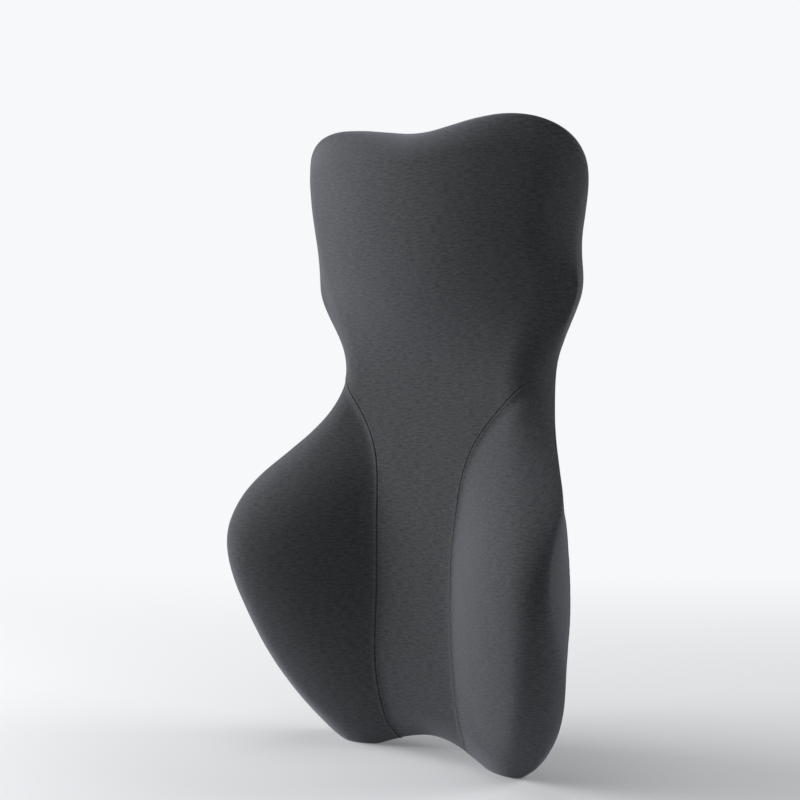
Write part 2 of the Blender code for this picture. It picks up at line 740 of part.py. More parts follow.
def build_pull_tab(looks, slider):
    """The pull tab, its origin on the axis of its crossbar."""
    origin = at(0.0, TAB_AXIS_DEPTH, TAB_AXIS_Z)
    half = TAB_WIDTH / 2
    thick = TAB_THICKNESS / 2
    window = half - TAB_RAIL
    window_end = BRIDGE_LENGTH / 2 + CUT_PAST
    near, far = TAB_AXIS_DEPTH - thick, TAB_AXIS_DEPTH + thick
    plate = bmesh.new()
    box(plate, (-half, near, TAB_AXIS_Z - TAB_LENGTH), (half, far, TAB_AXIS_Z + thick))
    tab = object_from(plate, "zip_pull_tab", looks["metal"], origin)
    hole = bmesh.new()
    box(
        hole,
        (-window, near - CUT_PAST, TAB_AXIS_Z - window_end),
        (window, far + CUT_PAST, TAB_AXIS_Z - thick),
    )
    boolean(tab, object_from(hole, "tab_window_tool"), "DIFFERENCE")
    tab.parent = slider
    tab.location = origin - slider.location


# ================================================================ strap
def ribbon(name, path, look):
    """A webbing strap: a path of (x, depth) points given thickness, extruded over the strap's width."""
    line = np.array(path)
    step = np.diff(line, axis=0)
    step /= np.linalg.norm(step, axis=1)[:, None]
    before = np.vstack([step[:1], step])
    after = np.vstack([step, step[-1:]])
    middle = before + after
    middle /= np.linalg.norm(middle, axis=1)[:, None]
    stretch = 1 / np.clip((middle * before).sum(axis=1), 0.5, 1)
    side = np.stack([-middle[:, 1], middle[:, 0]], axis=1) * stretch[:, None] * STRAP_THICKNESS / 2
    corners = np.vstack([line + side, (line - side)[::-1]])
    bm = bmesh.new()
    low = STRAP_Z - STRAP_WIDTH / 2
    prism(bm, [at(x, depth, low) for x, depth in corners], Vector((0, 0, STRAP_WIDTH)))
    return object_from(bm, name, look)


def strap_path(end_x, bar_x, fold_x):
    """From the sewn end, flat to the bar, half a turn round it, and back to the folded end."""
    way = np.sign(end_x - bar_x)
    radius = BAR_RADIUS + BAR_EASE + STRAP_THICKNESS / 2
    turn = [pi / 2 - pi * i / TURN_STEPS for i in range(TURN_STEPS + 1)]
    path = [(end_x, RIBBON_DEPTH)]
    path += [(bar_x - way * radius * np.cos(a), BAR_DEPTH + radius * np.sin(a)) for a in turn]
    path[1] = (bar_x, RIBBON_DEPTH)
    path.append((bar_x + way * FOLD_LIFT_X, BAR_DEPTH - radius))
    path.append((bar_x + way * FOLD_FLAT_X, FOLD_DEPTH))
    path.append((fold_x, FOLD_DEPTH))
    return path


SOCKET_BAR_X = BUCKLE_MOUTH_X - SOCKET_LENGTH + BAR_RADIUS
PLUG_BAR_X = BUCKLE_MOUTH_X + FIT_GAP + PLUG_LENGTH - BAR_RADIUS


def build_straps(looks):
    """The two elastic straps and the patches that their ends are sewn to."""
    ribbon("strap_left", strap_path(-STRAP_END_X, SOCKET_BAR_X, SOCKET_BAR_X - FOLD_LENGTH), looks["strap"])
    ribbon("strap_right", strap_path(STRAP_END_X, PLUG_BAR_X, RIGHT_FOLD_END_X), looks["strap"])
    half = STRAP_WIDTH / 2 + PATCH_MARGIN
    outer = -LAYER_GAP - PATCH_THICKNESS
    for side, word in ((-1, "left"), (1, "right")):
        patch = bmesh.new()
        inner_x = side * (STRAP_END_X - PATCH_LENGTH)
        box(patch, (inner_x, outer, STRAP_Z - half), (side * STRAP_END_X, -LAYER_GAP, STRAP_Z + half))
        object_from(patch, f"strap_anchor_{word}", looks["patch"])


def build_socket(looks):
    """The buckle's socket: a flat sleeve with side windows and a bar for the left strap."""
    end_x = BUCKLE_MOUTH_X - SOCKET_LENGTH
    low, high = BAR_DEPTH - BUCKLE_THICKNESS / 2, BAR_DEPTH + BUCKLE_THICKNESS / 2
    body = bmesh.new()
    box(body, (end_x, low, STRAP_Z - BUCKLE_HALF), (BUCKLE_MOUTH_X, high, STRAP_Z + BUCKLE_HALF))
    socket = object_from(body, "buckle_socket", looks["buckle"])
    bevel(socket, BUCKLE_ROUND, 2)
    cutter = bmesh.new()
    recess_x = end_x + RECESS_LENGTH
    box(
        cutter,
        (end_x - CUT_PAST, low - CUT_PAST, STRAP_Z - RECESS_HALF),
        (recess_x, high + CUT_PAST, STRAP_Z + RECESS_HALF),
    )
    tool = object_from(cutter, "socket_recess_tool")
    boolean(socket, tool, "DIFFERENCE")
    inside_shape = bmesh.new()
    profile = cavity_profile(BAR_DEPTH - CAVITY_HEIGHT / 2)
    prism(inside_shape, profile, Vector((0, -CAVITY_HEIGHT, 0)))
    boolean(socket, object_from(inside_shape, "socket_cavity_tool"), "DIFFERENCE")
    bar = bmesh.new()
    rod(bar, at(SOCKET_BAR_X, BAR_DEPTH, STRAP_Z), BAR_RADIUS, 2 * (RECESS_HALF + CUT_PAST))
    boolean(socket, object_from(bar, "socket_bar_tool"), "UNION")


def cavity_profile(depth):
    """The socket's hollow in plan: a mouth, a straight way in and the two side windows."""
    mouth = BUCKLE_MOUTH_X + CUT_PAST
    end = BUCKLE_MOUTH_X - CAVITY_DEPTH
    half = RECESS_HALF + BUCKLE_SIDE_PLAY
    out = BUCKLE_HALF + CUT_PAST
    window = (BUCKLE_MOUTH_X - WINDOW_FAR, BUCKLE_MOUTH_X - WINDOW_NEAR)
    upper = [(mouth, half), (window[1], half), (window[1], out), (window[0], out), (window[0], half), (end, half)]
    lower = [(x, -z) for x, z in reversed(upper)]
    return [at(x, depth, STRAP_Z + z) for x, z in upper + lower]


def plug_profile(depth):
    """The plug in plan: a grip, a centre tongue and two sprung arms with rounded heads."""
    start = BUCKLE_MOUTH_X + FIT_GAP
    grip = start + PLUG_GRIP_LENGTH
    tongue = BUCKLE_MOUTH_X - CAVITY_DEPTH + 3 * FIT_GAP
    arm_end = BUCKLE_MOUTH_X - ARM_REACH
    head = RECESS_HALF + BUCKLE_SIDE_PLAY - FIT_GAP
    upper = [(grip, head), (start + 0.002, head), (start - 0.004, 0.0140), (arm_end + 0.009, 0.0135)]
    upper += [(arm_end + 0.007, head), (arm_end + 0.002, head), (arm_end, 0.0125), (arm_end + 0.002, 0.0100)]
    upper += [(start, 0.0095), (start, 0.0035), (tongue + 0.001, 0.0035), (tongue, 0.0025)]
    lower = [(x, -z) for x, z in reversed(upper)]
    return [at(x, depth, STRAP_Z + z) for x, z in upper + lower]


def build_plug(looks):
    """The buckle's plug, its origin on the line it slides along."""
    origin = at(BUCKLE_MOUTH_X, BAR_DEPTH, STRAP_Z)
    insert = CAVITY_HEIGHT - 2 * FIT_GAP
    body = bmesh.new()
    prism(body, plug_profile(BAR_DEPTH - insert / 2), Vector((0, -insert, 0)))
    plug = object_from(body, "buckle_plug", looks["buckle"], origin)
    start = BUCKLE_MOUTH_X + FIT_GAP
    end_x = start + PLUG_LENGTH
    low, high = BAR_DEPTH - BUCKLE_THICKNESS / 2, BAR_DEPTH + BUCKLE_THICKNESS / 2
    grip = bmesh.new()
    box(grip, (start, low, STRAP_Z - BUCKLE_HALF), (end_x, high, STRAP_Z + BUCKLE_HALF))
    grip_tool = object_from(grip, "plug_grip_tool")
    bevel(grip_tool, BUCKLE_ROUND, 2)
    boolean(plug, grip_tool, "UNION")
    cutter = bmesh.new()
    box(
        cutter,
        (end_x - RECESS_LENGTH, low - CUT_PAST, STRAP_Z - RECESS_HALF),
        (end_x + CUT_PAST, high + CUT_PAST, STRAP_Z + RECESS_HALF),
    )
    boolean(plug, object_from(cutter, "plug_recess_tool"), "DIFFERENCE")
    bar = bmesh.new()
    rod(bar, at(PLUG_BAR_X, BAR_DEPTH, STRAP_Z), BAR_RADIUS, 2 * (RECESS_HALF + CUT_PAST))
    boolean(plug, object_from(bar, "plug_bar_tool"), "UNION")


def build_adjuster(looks):
    """The adjuster: two rails, two bars under the strap and one bar over it."""
    low_x, high_x = ADJUSTER_X, ADJUSTER_X + ADJUSTER_LENGTH
    half = RECESS_HALF
    under = RIBBON_DEPTH + STRAP_THICKNESS / 2 + LAYER_GAP
    over = FOLD_DEPTH - STRAP_THICKNESS / 2 - LAYER_GAP
    body = bmesh.new()
    box(
        body,
        (low_x, over - ADJUSTER_WALL, STRAP_Z - half - ADJUSTER_RAIL),
        (high_x, under + ADJUSTER_WALL, STRAP_Z + half + ADJUSTER_RAIL),
    )
    origin = at(low_x, RIBBON_DEPTH, STRAP_Z)
    adjuster = object_from(body, "strap_adjuster", looks["buckle"], origin)
    bevel(adjuster, ADJUSTER_EASE)
    middle = (low_x + high_x) / 2
    bar = ADJUSTER_BAR / 2
    beyond = CUT_PAST + ADJUSTER_WALL
    corners = [(low_x - beyond, under), (low_x + ADJUSTER_BAR, under), (low_x + ADJUSTER_BAR, under + beyond)]
    corners += [(high_x - ADJUSTER_BAR, under + beyond), (high_x - ADJUSTER_BAR, under), (high_x + beyond, under)]
    corners += [(high_x + beyond, over - beyond), (middle + bar, over - beyond), (middle + bar, over)]
    corners += [(middle - bar, over), (middle - bar, over - beyond), (low_x - beyond, over - beyond)]
    cutter = bmesh.new()
    prism(cutter, [at(x, depth, STRAP_Z - half) for x, depth in corners], Vector((0, 0, 2 * half)))
    boolean(adjuster, object_from(cutter, "adjuster_tool"), "DIFFERENCE")


def build_keeper(looks):
    """The elastic loop that holds the strap's loose end down."""
    half = RECESS_HALF
    under = RIBBON_DEPTH + STRAP_THICKNESS / 2 + LAYER_GAP
    over = FOLD_DEPTH - STRAP_THICKNESS / 2 - LAYER_GAP
    wall = KEEPER_WALL
    body = bmesh.new()
    box(
        body,
        (KEEPER_X, over - wall, STRAP_Z - half - wall),
        (KEEPER_X + KEEPER_LENGTH, under + wall, STRAP_Z + half + wall),
    )
    keeper = object_from(body, "strap_keeper", looks["strap"])
    cutter = bmesh.new()
    low = (KEEPER_X - CUT_PAST, over, STRAP_Z - half)
    box(cutter, low, (KEEPER_X + KEEPER_LENGTH + CUT_PAST, under, STRAP_Z + half))
    boolean(keeper, object_from(cutter, "keeper_tool"), "DIFFERENCE")


# ================================================================ the whole object
def materials():
    """Every material of the part, by use."""
    return {
        "cover": material("cover_knit", (0.061, 0.063, 0.066), 0.9),
        "foam": material("foam_cream", (0.72, 0.66, 0.50), 0.85),
        "liner": material("liner_white", (0.70, 0.70, 0.68), 0.8),
        "tape": material("zip_tape_grey", (0.040, 0.041, 0.043), 0.85),
        "coil": material("zip_coil_grey", (0.030, 0.030, 0.032), 0.45),
        "metal": material("zip_metal", (0.20, 0.20, 0.21), 0.35, 1.0),
        "strap": material("strap_webbing", (0.022, 0.022, 0.024), 0.85),
        "patch": material("anchor_patch", (0.045, 0.046, 0.048), 0.9),
        "buckle": material("buckle_black", (0.015, 0.015, 0.016), 0.4),
    }


def build():
    """Build the part in an empty scene."""
    clear_scene()
    looks = materials()
    build_soft_layers(looks)
    build_zip_tapes(looks)
    build_zip_stops(looks)
    slider = build_slider(looks)
    build_pull_tab(looks, slider)
    build_straps(looks)
    build_socket(looks)
    build_plug(looks)
    build_adjuster(looks)
    build_keeper(looks)


build()
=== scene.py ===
"""Looks of the lumbar support cushion: knit cover, seams, foam, zip, strap and a small studio.

The shapes repeat the cushion's own sizes in metres. +Z is up and the front faces -Y.
"Depth" below means the distance forward from the flat back of the cover.
"""

from __future__ import annotations

import logging
from dataclasses import dataclass, field
from enum import Enum
from math import cos, pi, radians, sin

import bpy
import numpy as np
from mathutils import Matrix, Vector
from mathutils.bvhtree import BVHTree


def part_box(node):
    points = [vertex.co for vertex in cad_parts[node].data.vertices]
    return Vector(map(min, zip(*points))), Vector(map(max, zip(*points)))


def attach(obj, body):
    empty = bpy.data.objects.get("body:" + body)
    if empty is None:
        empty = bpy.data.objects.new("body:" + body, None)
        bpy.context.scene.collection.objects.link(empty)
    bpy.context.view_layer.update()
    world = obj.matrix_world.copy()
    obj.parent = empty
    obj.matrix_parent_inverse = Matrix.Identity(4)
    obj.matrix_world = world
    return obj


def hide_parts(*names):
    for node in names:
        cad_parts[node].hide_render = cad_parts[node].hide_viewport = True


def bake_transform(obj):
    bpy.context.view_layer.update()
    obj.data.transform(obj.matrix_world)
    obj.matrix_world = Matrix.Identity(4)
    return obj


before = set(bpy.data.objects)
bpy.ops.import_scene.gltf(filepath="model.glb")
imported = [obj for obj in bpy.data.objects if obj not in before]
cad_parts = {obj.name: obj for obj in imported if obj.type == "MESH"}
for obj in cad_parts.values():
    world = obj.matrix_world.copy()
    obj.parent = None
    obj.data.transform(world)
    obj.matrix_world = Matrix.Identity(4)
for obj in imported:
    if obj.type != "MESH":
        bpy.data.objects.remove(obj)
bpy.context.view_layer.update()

Array = np.ndarray
Knots = list[tuple[float, float]]
log = logging.getLogger("cushion")


class Side(Enum):
    """The cushion's two sides, as the sign of x."""

    LEFT = -1
    RIGHT = 1

    @property
    def word(self) -> str:
        """The side's name in piece names."""
        return self.name.lower()


class Panel(Enum):
    """The cloth panels of one half of the cover."""

    FRONT = "front"
    WING = "wing"
    BACK = "back"


# ================================================================ small maths
def natural_spline(knots: Knots, x: Array) -> Array:
    """Values at x of the natural cubic spline through the knots.

    Args:
        knots: (place, value) pairs in rising order of place.
        x: places to read; they are held inside the knots' range.

    Returns:
        The spline's values, one for each x.
    """
    place = np.array([k[0] for k in knots], float)
    value = np.array([k[1] for k in knots], float)
    count = len(place)
    step = np.diff(place)
    matrix = np.eye(count)
    right = np.zeros(count)
    inner = np.arange(1, count - 1)
    matrix[inner, inner - 1] = step[:-1]
    matrix[inner, inner] = 2 * (step[:-1] + step[1:])
    matrix[inner, inner + 1] = step[1:]
    slope = np.diff(value) / step
    right[inner] = 6 * np.diff(slope)
    bend = np.linalg.solve(matrix, right)
    x = np.clip(x, place[0], place[-1])
    i = np.clip(np.searchsorted(place, x) - 1, 0, count - 2)
    a, b, h = place[i + 1] - x, x - place[i], step[i]
    cubic = (bend[i] * a**3 + bend[i + 1] * b**3) / (6 * h)
    return cubic + (value[i] / h - bend[i] * h / 6) * a + (value[i + 1] / h - bend[i + 1] * h / 6) * b


def smooth_step(x: Array) -> Array:
    """0 below 0, 1 above 1, and the curve 3x^2 - 2x^3 between."""
    x = np.clip(x, 0.0, 1.0)
    return x * x * (3 - 2 * x)


def dome(share: Array) -> Array:
    """Quarter circle from 0 at share 0 to 1 at share 1: the roundness of the edge."""
    return np.sqrt(np.clip(1 - (1 - np.clip(share, 0, 1)) ** 2, 0, 1))


def stations(length: float, spacing: float, marks: list[float], near: tuple[float, ...]) -> Array:
    """Places along a line: evenly spaced, and closer together round each mark.

    Args:
        length: the line's length.
        spacing: the distance between the even places.
        marks: places that have to be stations, with more stations beside them.
        near: distances from a mark at which stations are added.

    Returns:
        The sorted places, from 0 to length.
    """
    close = [m + sign * d for m in marks for d in near for sign in (-1, 1)]
    fixed = np.array(sorted(set(marks) | {c for c in close if 0 < c < length} | {0.0, length}))
    even = np.arange(spacing, length - 0.4 * spacing, spacing)
    far = np.abs(even[:, None] - fixed[None]).min(axis=1) > 0.45 * spacing
    return np.unique(np.concatenate([fixed, even[far]]))


def segment_distance(points: Array, start: Array, end: Array) -> Array:
    """Distance of each point from the nearest of many straight segments.

    Args:
        points: (n, k) points.
        start: (m, k) first ends of the segments.
        end: (m, k) second ends of the segments.

    Returns:
        The n distances: each is to the point's foot on the segment, held between its ends.
    """
    side = end - start
    square = np.maximum((side**2).sum(axis=1), 1e-18)
    result = np.empty(len(points))
    for low in range(0, len(points), 4000):
        part = points[low : low + 4000]
        away = part[:, None] - start[None]
        along = np.clip(np.einsum("nmk,mk->nm", away, side) / square, 0, 1)
        away -= along[:, :, None] * side[None]
        result[low : low + 4000] = np.sqrt(np.einsum("nmk,nmk->nm", away, away).min(axis=1))
    return result


# ================================================================ meshes
@dataclass
class Surface:
    """An open surface of quads: points, faces, and each point's place on the flat cloth."""

    points: Array
    quads: Array
    cloth: Array

    @classmethod
    def grid(cls, points: Array, cloth: Array, closed: bool = False) -> "Surface":
        """A surface from a (rows, columns, 3) grid, its columns joined in a ring if closed."""
        rows, columns = points.shape[:2]
        number = np.arange(rows * columns).reshape(rows, columns)
        if closed:
            number = np.hstack([number, number[:, :1]])
        quads = np.stack([number[:-1, :-1], number[:-1, 1:], number[1:, 1:], number[1:, :-1]], axis=-1)
        return cls(points.reshape(-1, 3), quads.reshape(-1, 4), cloth.reshape(-1, 2))

    def joined(self, other: "Surface") -> "Surface":
        """This surface and another as one."""
        quads = np.vstack([self.quads, other.quads + len(self.points)])
        return Surface(np.vstack([self.points, other.points]), quads, np.vstack([self.cloth, other.cloth]))

    def area(self) -> float:
        """The sum of its faces' areas, each half the length of its diagonals' cross product."""
        a, b, c, d = (self.points[self.quads[:, k]] for k in range(4))
        return float(0.5 * np.linalg.norm(np.cross(c - a, d - b), axis=1).sum())

    def mirrored(self) -> "Surface":
        """The same surface on the other side of x = 0, still facing out."""
        flip = np.array([-1.0, 1.0, 1.0])
        return Surface(self.points * flip, self.quads[:, ::-1], self.cloth * flip[:2])

    def welded(self, reach: float = 2e-6) -> "Surface":
        """The surface with points at the same place made one, and its empty faces dropped."""
        key = np.round(self.points / reach).astype(np.int64)
        _, first, number = np.unique(key, axis=0, return_index=True, return_inverse=True)
        quads = number.reshape(-1)[self.quads]
        same = (quads == np.roll(quads, -1, axis=1)).sum(axis=1)
        return Surface(self.points[first], quads[same < 2], self.cloth[first])

    def normals(self) -> Array:
        """Unit normal at each point: the mean of its faces' diagonal cross products."""
        a, b, c, d = (self.points[self.quads[:, i]] for i in range(4))
        face = np.cross(c - a, d - b)
        total = np.zeros_like(self.points)
        for i in range(4):
            for axis in range(3):
                total[:, axis] += np.bincount(self.quads[:, i], face[:, axis], len(self.points))
        return total / np.maximum(np.linalg.norm(total, axis=1), 1e-18)[:, None]


def loop_starts(quads: Array) -> tuple[Array, Array, Array]:
    """Corner numbers, first corners and corner counts of quads.

    A quad with a repeated corner is a triangle.
    """
    keep = quads != np.roll(quads, 1, axis=1)
    total = keep.sum(axis=1)
    start = np.concatenate([[0], np.cumsum(total)[:-1]])
    return quads[keep], start, total


def mesh_object(name: str, surface: Surface, look: bpy.types.Material) -> bpy.types.Object:
    """Put a surface into a new smooth mesh object at the origin.

    Args:
        name: the piece's name.
        surface: the closed surface.
        look: its material.

    Returns:
        The linked object, with the cloth places in its UV map.
    """
    corners, start, total = loop_starts(surface.quads)
    mesh = bpy.data.meshes.new(name)
    mesh.vertices.add(len(surface.points))
    mesh.vertices.foreach_set("co", surface.points.astype(np.float32).ravel())
    mesh.loops.add(len(corners))
    mesh.loops.foreach_set("vertex_index", corners.astype(np.int32))
    mesh.polygons.add(len(start))
    mesh.polygons.foreach_set("loop_start", start.astype(np.int32))
    mesh.polygons.foreach_set("loop_total", total.astype(np.int32))
    mesh.update(calc_edges=True)
    mesh.uv_layers.new(name="Cloth").data.foreach_set("uv", surface.cloth[corners].astype(np.float32).ravel())
    mesh.validate()
    mesh.shade_smooth()
    mesh.materials.append(look)
    made = bpy.data.objects.new(name, mesh)
    bpy.context.scene.collection.objects.link(made)
    return made


def shell(outer: Surface, inner_points: Array) -> Surface:
    """Close an open surface with an inner wall and side walls along its open edges.

    Args:
        outer: the outer wall, facing out.
        inner_points: the inner wall's points, one behind each outer point.

    Returns:
        The closed surface.
    """
    count = len(outer.points)
    edges = np.vstack([outer.quads[:, [i, (i + 1) % 4]] for i in range(4)])
    edges = edges[edges[:, 0] != edges[:, 1]]
    code = edges[:, 0] * count + edges[:, 1]
    back = edges[:, 1] * count + edges[:, 0]
    rim = edges[~np.isin(back, code)]
    side = np.stack([rim[:, 1], rim[:, 0], rim[:, 0] + count, rim[:, 1] + count], axis=1)
    quads = np.vstack([outer.quads, outer.quads[:, ::-1] + count, side])
    return Surface(np.vstack([outer.points, inner_points]), quads, np.vstack([outer.cloth, outer.cloth]))


def tube(path: Array, radius: Array, sides: int) -> Surface:
    """A round tube along a path in 3-D, open at its two ends.

    The ring at each path point lies square to the path. Each ring's two directions are the
    cross products of the path's direction with the world's Y axis, and of the result with the
    direction.

    Args:
        path: (n, 3) points, not running along Y.
        radius: the n radii.
        sides: points in each ring.

    Returns:
        The tube, open at its two ends.
    """
    along = np.gradient(path, axis=0)
    along /= np.linalg.norm(along, axis=1)[:, None]
    first = np.cross(along, [0.0, 1.0, 0.0])
    first /= np.linalg.norm(first, axis=1)[:, None]
    second = np.cross(along, first)
    angle = np.linspace(0, 2 * pi, sides, endpoint=False)
    ring = np.cos(angle)[None, :, None] * first[:, None] + np.sin(angle)[None, :, None] * second[:, None]
    points = path[:, None] + ring * radius[:, None, None]
    length = np.concatenate([[0.0], np.cumsum(np.linalg.norm(np.diff(path, axis=0), axis=1))])
    around = angle[None] * radius.max() + 0 * length[:, None]
    cloth = np.stack([around, length[:, None] + 0 * around], axis=-1)
    return face_out(Surface.grid(points, cloth, closed=True).welded(1e-7))


def face_out(surface: Surface) -> Surface:
    """The closed surface with its faces turned out, by the sign of the volume it holds."""
    a, b, c, d = (surface.points[surface.quads[:, i]] for i in range(4))
    volume = np.einsum("ij,ij->", a, np.cross(b, c)) + np.einsum("ij,ij->", a, np.cross(c, d))
    if volume < 0:
        return Surface(surface.points, surface.quads[:, ::-1], surface.cloth)
    return surface


def many(shape: Surface, moves: Array) -> Surface:
    """Copies of one small surface, one at each move."""
    count = len(shape.points)
    points = (shape.points[None] + moves[:, None]).reshape(-1, 3)
    quads = (shape.quads[None] + (np.arange(len(moves)) * count)[:, None, None]).reshape(-1, 4)
    return Surface(points, quads, np.tile(shape.cloth, (len(moves), 1)))


# ================================================================ finishes
@dataclass(frozen=True)
class Knit:
    """Fine dark knit: courses across the cloth, a light and dark yarn mix, and a soft nap."""

    name: str = "cover_knit"
    colour: tuple[float, float, float] = (0.020, 0.0205, 0.0215)
    light_yarn: tuple[float, float, float] = (0.080, 0.083, 0.089)
    course: float = 0.0013
    relief: float = 0.00022
    roughness: float = 0.88
    sheen: float = 0.30

    def build(self) -> bpy.types.Material:
        """The material, its pattern on the cloth's own UV map in metres."""
        look = Look(self.name, self.colour, self.roughness)
        cloth = look.cloth()
        wobble = look.noise(look.scaled(cloth, (60.0, 60.0, 1.0)), 1.0, 2.0)
        bent = look.mixed_vector(cloth, wobble, 0.0011)
        courses = look.wave(look.scaled(bent, (0.0, 1.0 / self.course, 0.0)), "Y")
        wales = look.wave(look.scaled(bent, (0.55 / self.course, 0.0, 0.0)), "X")
        yarn = look.noise(look.scaled(cloth, (130.0, 620.0, 1.0)), 1.0, 3.0)
        speck = look.noise(look.scaled(cloth, (520.0, 760.0, 1.0)), 1.0, 2.0)
        patch = look.noise(look.scaled(cloth, (9.0, 9.0, 1.0)), 1.0, 3.0)
        height = look.sum_of([(courses, 0.40), (wales, 0.12), (yarn, 0.80), (speck, 0.9)])
        look.bump(height, self.relief, 0.85)
        # The yarn, speck and patch noise gives the knit's own light and dark yarn mix. The small share of the
        # courses is painted shade: the furrows between courses are a little darker.
        share = look.sum_of([(yarn, 1.0), (speck, 0.9), (courses, 0.12), (patch, 0.15)])
        look.colour_from(look.ramp(share, 0.70, 1.55), self.colour, self.light_yarn)
        look.shader.inputs["Sheen Weight"].default_value = self.sheen
        look.shader.inputs["Sheen Roughness"].default_value = 0.45
        look.shader.inputs["Sheen Tint"].default_value = (0.80, 0.85, 1.0, 1.0)
        look.shader.inputs["Specular IOR Level"].default_value = 0.25
        return look.material


@dataclass(frozen=True)
class Weave:
    """Plain or ribbed woven band: warp ribs along the band and weft crossing them."""

    name: str
    colour: tuple[float, float, float]
    rib: float = 0.0016
    pick: float = 0.0009
    relief: float = 0.0002
    roughness: float = 0.8
    sheen: float = 0.15

    def build(self) -> bpy.types.Material:
        """The material: crossed waves on the band's UV map, with a fibre noise, and painted shade: the colour
        follows the relief, darker in the furrows and lighter on the raised yarn.
        """
        look = Look(self.name, self.colour, self.roughness)
        cloth = look.cloth()
        ribs = look.wave(look.scaled(cloth, (1.0 / self.rib, 0.0, 0.0)), "X")
        picks = look.wave(look.scaled(cloth, (0.0, 1.0 / self.pick, 0.0)), "Y")
        fibre = look.noise(look.scaled(cloth, (900.0, 2200.0, 1.0)), 1.0, 3.0)
        height = look.sum_of([(ribs, 0.6), (picks, 0.5), (fibre, 0.7)])
        look.bump(height, self.relief, 0.9)
        # Painted shade and highlight: the raised yarn gets this lighter colour, the furrows the darker base
        # colour.
        light = tuple(min(1.0, 2.1 * c + 0.004) for c in self.colour)
        look.colour_from(look.ramp(height, 0.45, 1.45), self.colour, light)
        look.shader.inputs["Sheen Weight"].default_value = self.sheen
        look.shader.inputs["Sheen Roughness"].default_value = 0.4
        return look.material


@dataclass(frozen=True)
class Foam:
    """Moulded cream foam: an open-cell skin with small pits."""

    name: str = "foam_cream"
    colour: tuple[float, float, float] = (0.70, 0.62, 0.44)

    def build(self) -> bpy.types.Material:
        """The material: cell pits from a Voronoi pattern, in the object's own space, with painted shade
        darkening the pits and a broad cloud of tone.
        """
        look = Look(self.name, self.colour, 0.85)
        space = look.space()
        cells = look.cells(look.scaled(space, (420.0, 420.0, 420.0)))
        cloud = look.noise(look.scaled(space, (24.0, 24.0, 24.0)), 1.0, 4.0)
        look.bump(look.sum_of([(cells, 1.0), (cloud, 0.3)]), 0.0004, 0.7)
        # Painted shade: the cell pits get this darker colour. The cloud adds tone that wanders at random.
        deep = tuple(0.72 * c for c in self.colour)
        look.colour_from(look.ramp(look.sum_of([(cells, 0.6), (cloud, 0.7)]), 0.2, 1.0), deep, self.colour)
        return look.material


@dataclass(frozen=True)
class Moulded:
    """Moulded black plastic: a fine spark-eroded grain and faint handling marks."""

    name: str = "buckle_plastic"
    colour: tuple[float, float, float] = (0.014, 0.014, 0.015)
    roughness: float = 0.42

    def build(self) -> bpy.types.Material:
        """The material: a fine grain bump, and roughness that wanders with a broad noise."""
        look = Look(self.name, self.colour, self.roughness)
        space = look.space()
        grain = look.noise(look.scaled(space, (2600.0, 2600.0, 2600.0)), 1.0, 2.0)
        broad = look.noise(look.scaled(space, (160.0, 160.0, 160.0)), 1.0, 4.0)
        look.bump(grain, 0.00008, 0.5)
        look.roughness_from(broad, self.roughness - 0.08, self.roughness + 0.12)
        worn = tuple(1.8 * c for c in self.colour)
        look.colour_from(look.ramp(broad, 0.35, 0.75), self.colour, worn)
        return look.material


@dataclass(frozen=True)
class CastMetal:
    """Dark plated zinc, as on zip sliders: smooth, a little mottled, brushed along its length."""

    name: str = "zip_metal"
    colour: tuple[float, float, float] = (0.16, 0.16, 0.17)
    roughness: float = 0.30

    def build(self) -> bpy.types.Material:
        """The material: metal with brushed streaks and a mottled roughness."""
        look = Look(self.name, self.colour, self.roughness, metallic=1.0)
        space = look.space()
        streak = look.noise(look.scaled(space, (3800.0, 3800.0, 240.0)), 1.0, 2.0)
        broad = look.noise(look.scaled(space, (500.0, 500.0, 500.0)), 1.0, 4.0)
        look.bump(streak, 0.00003, 0.4)
        look.roughness_from(broad, self.roughness - 0.08, self.roughness + 0.16)
        bright = tuple(1.7 * c for c in self.colour)
        look.colour_from(look.ramp(broad, 0.3, 0.8), self.colour, bright)
        return look.material


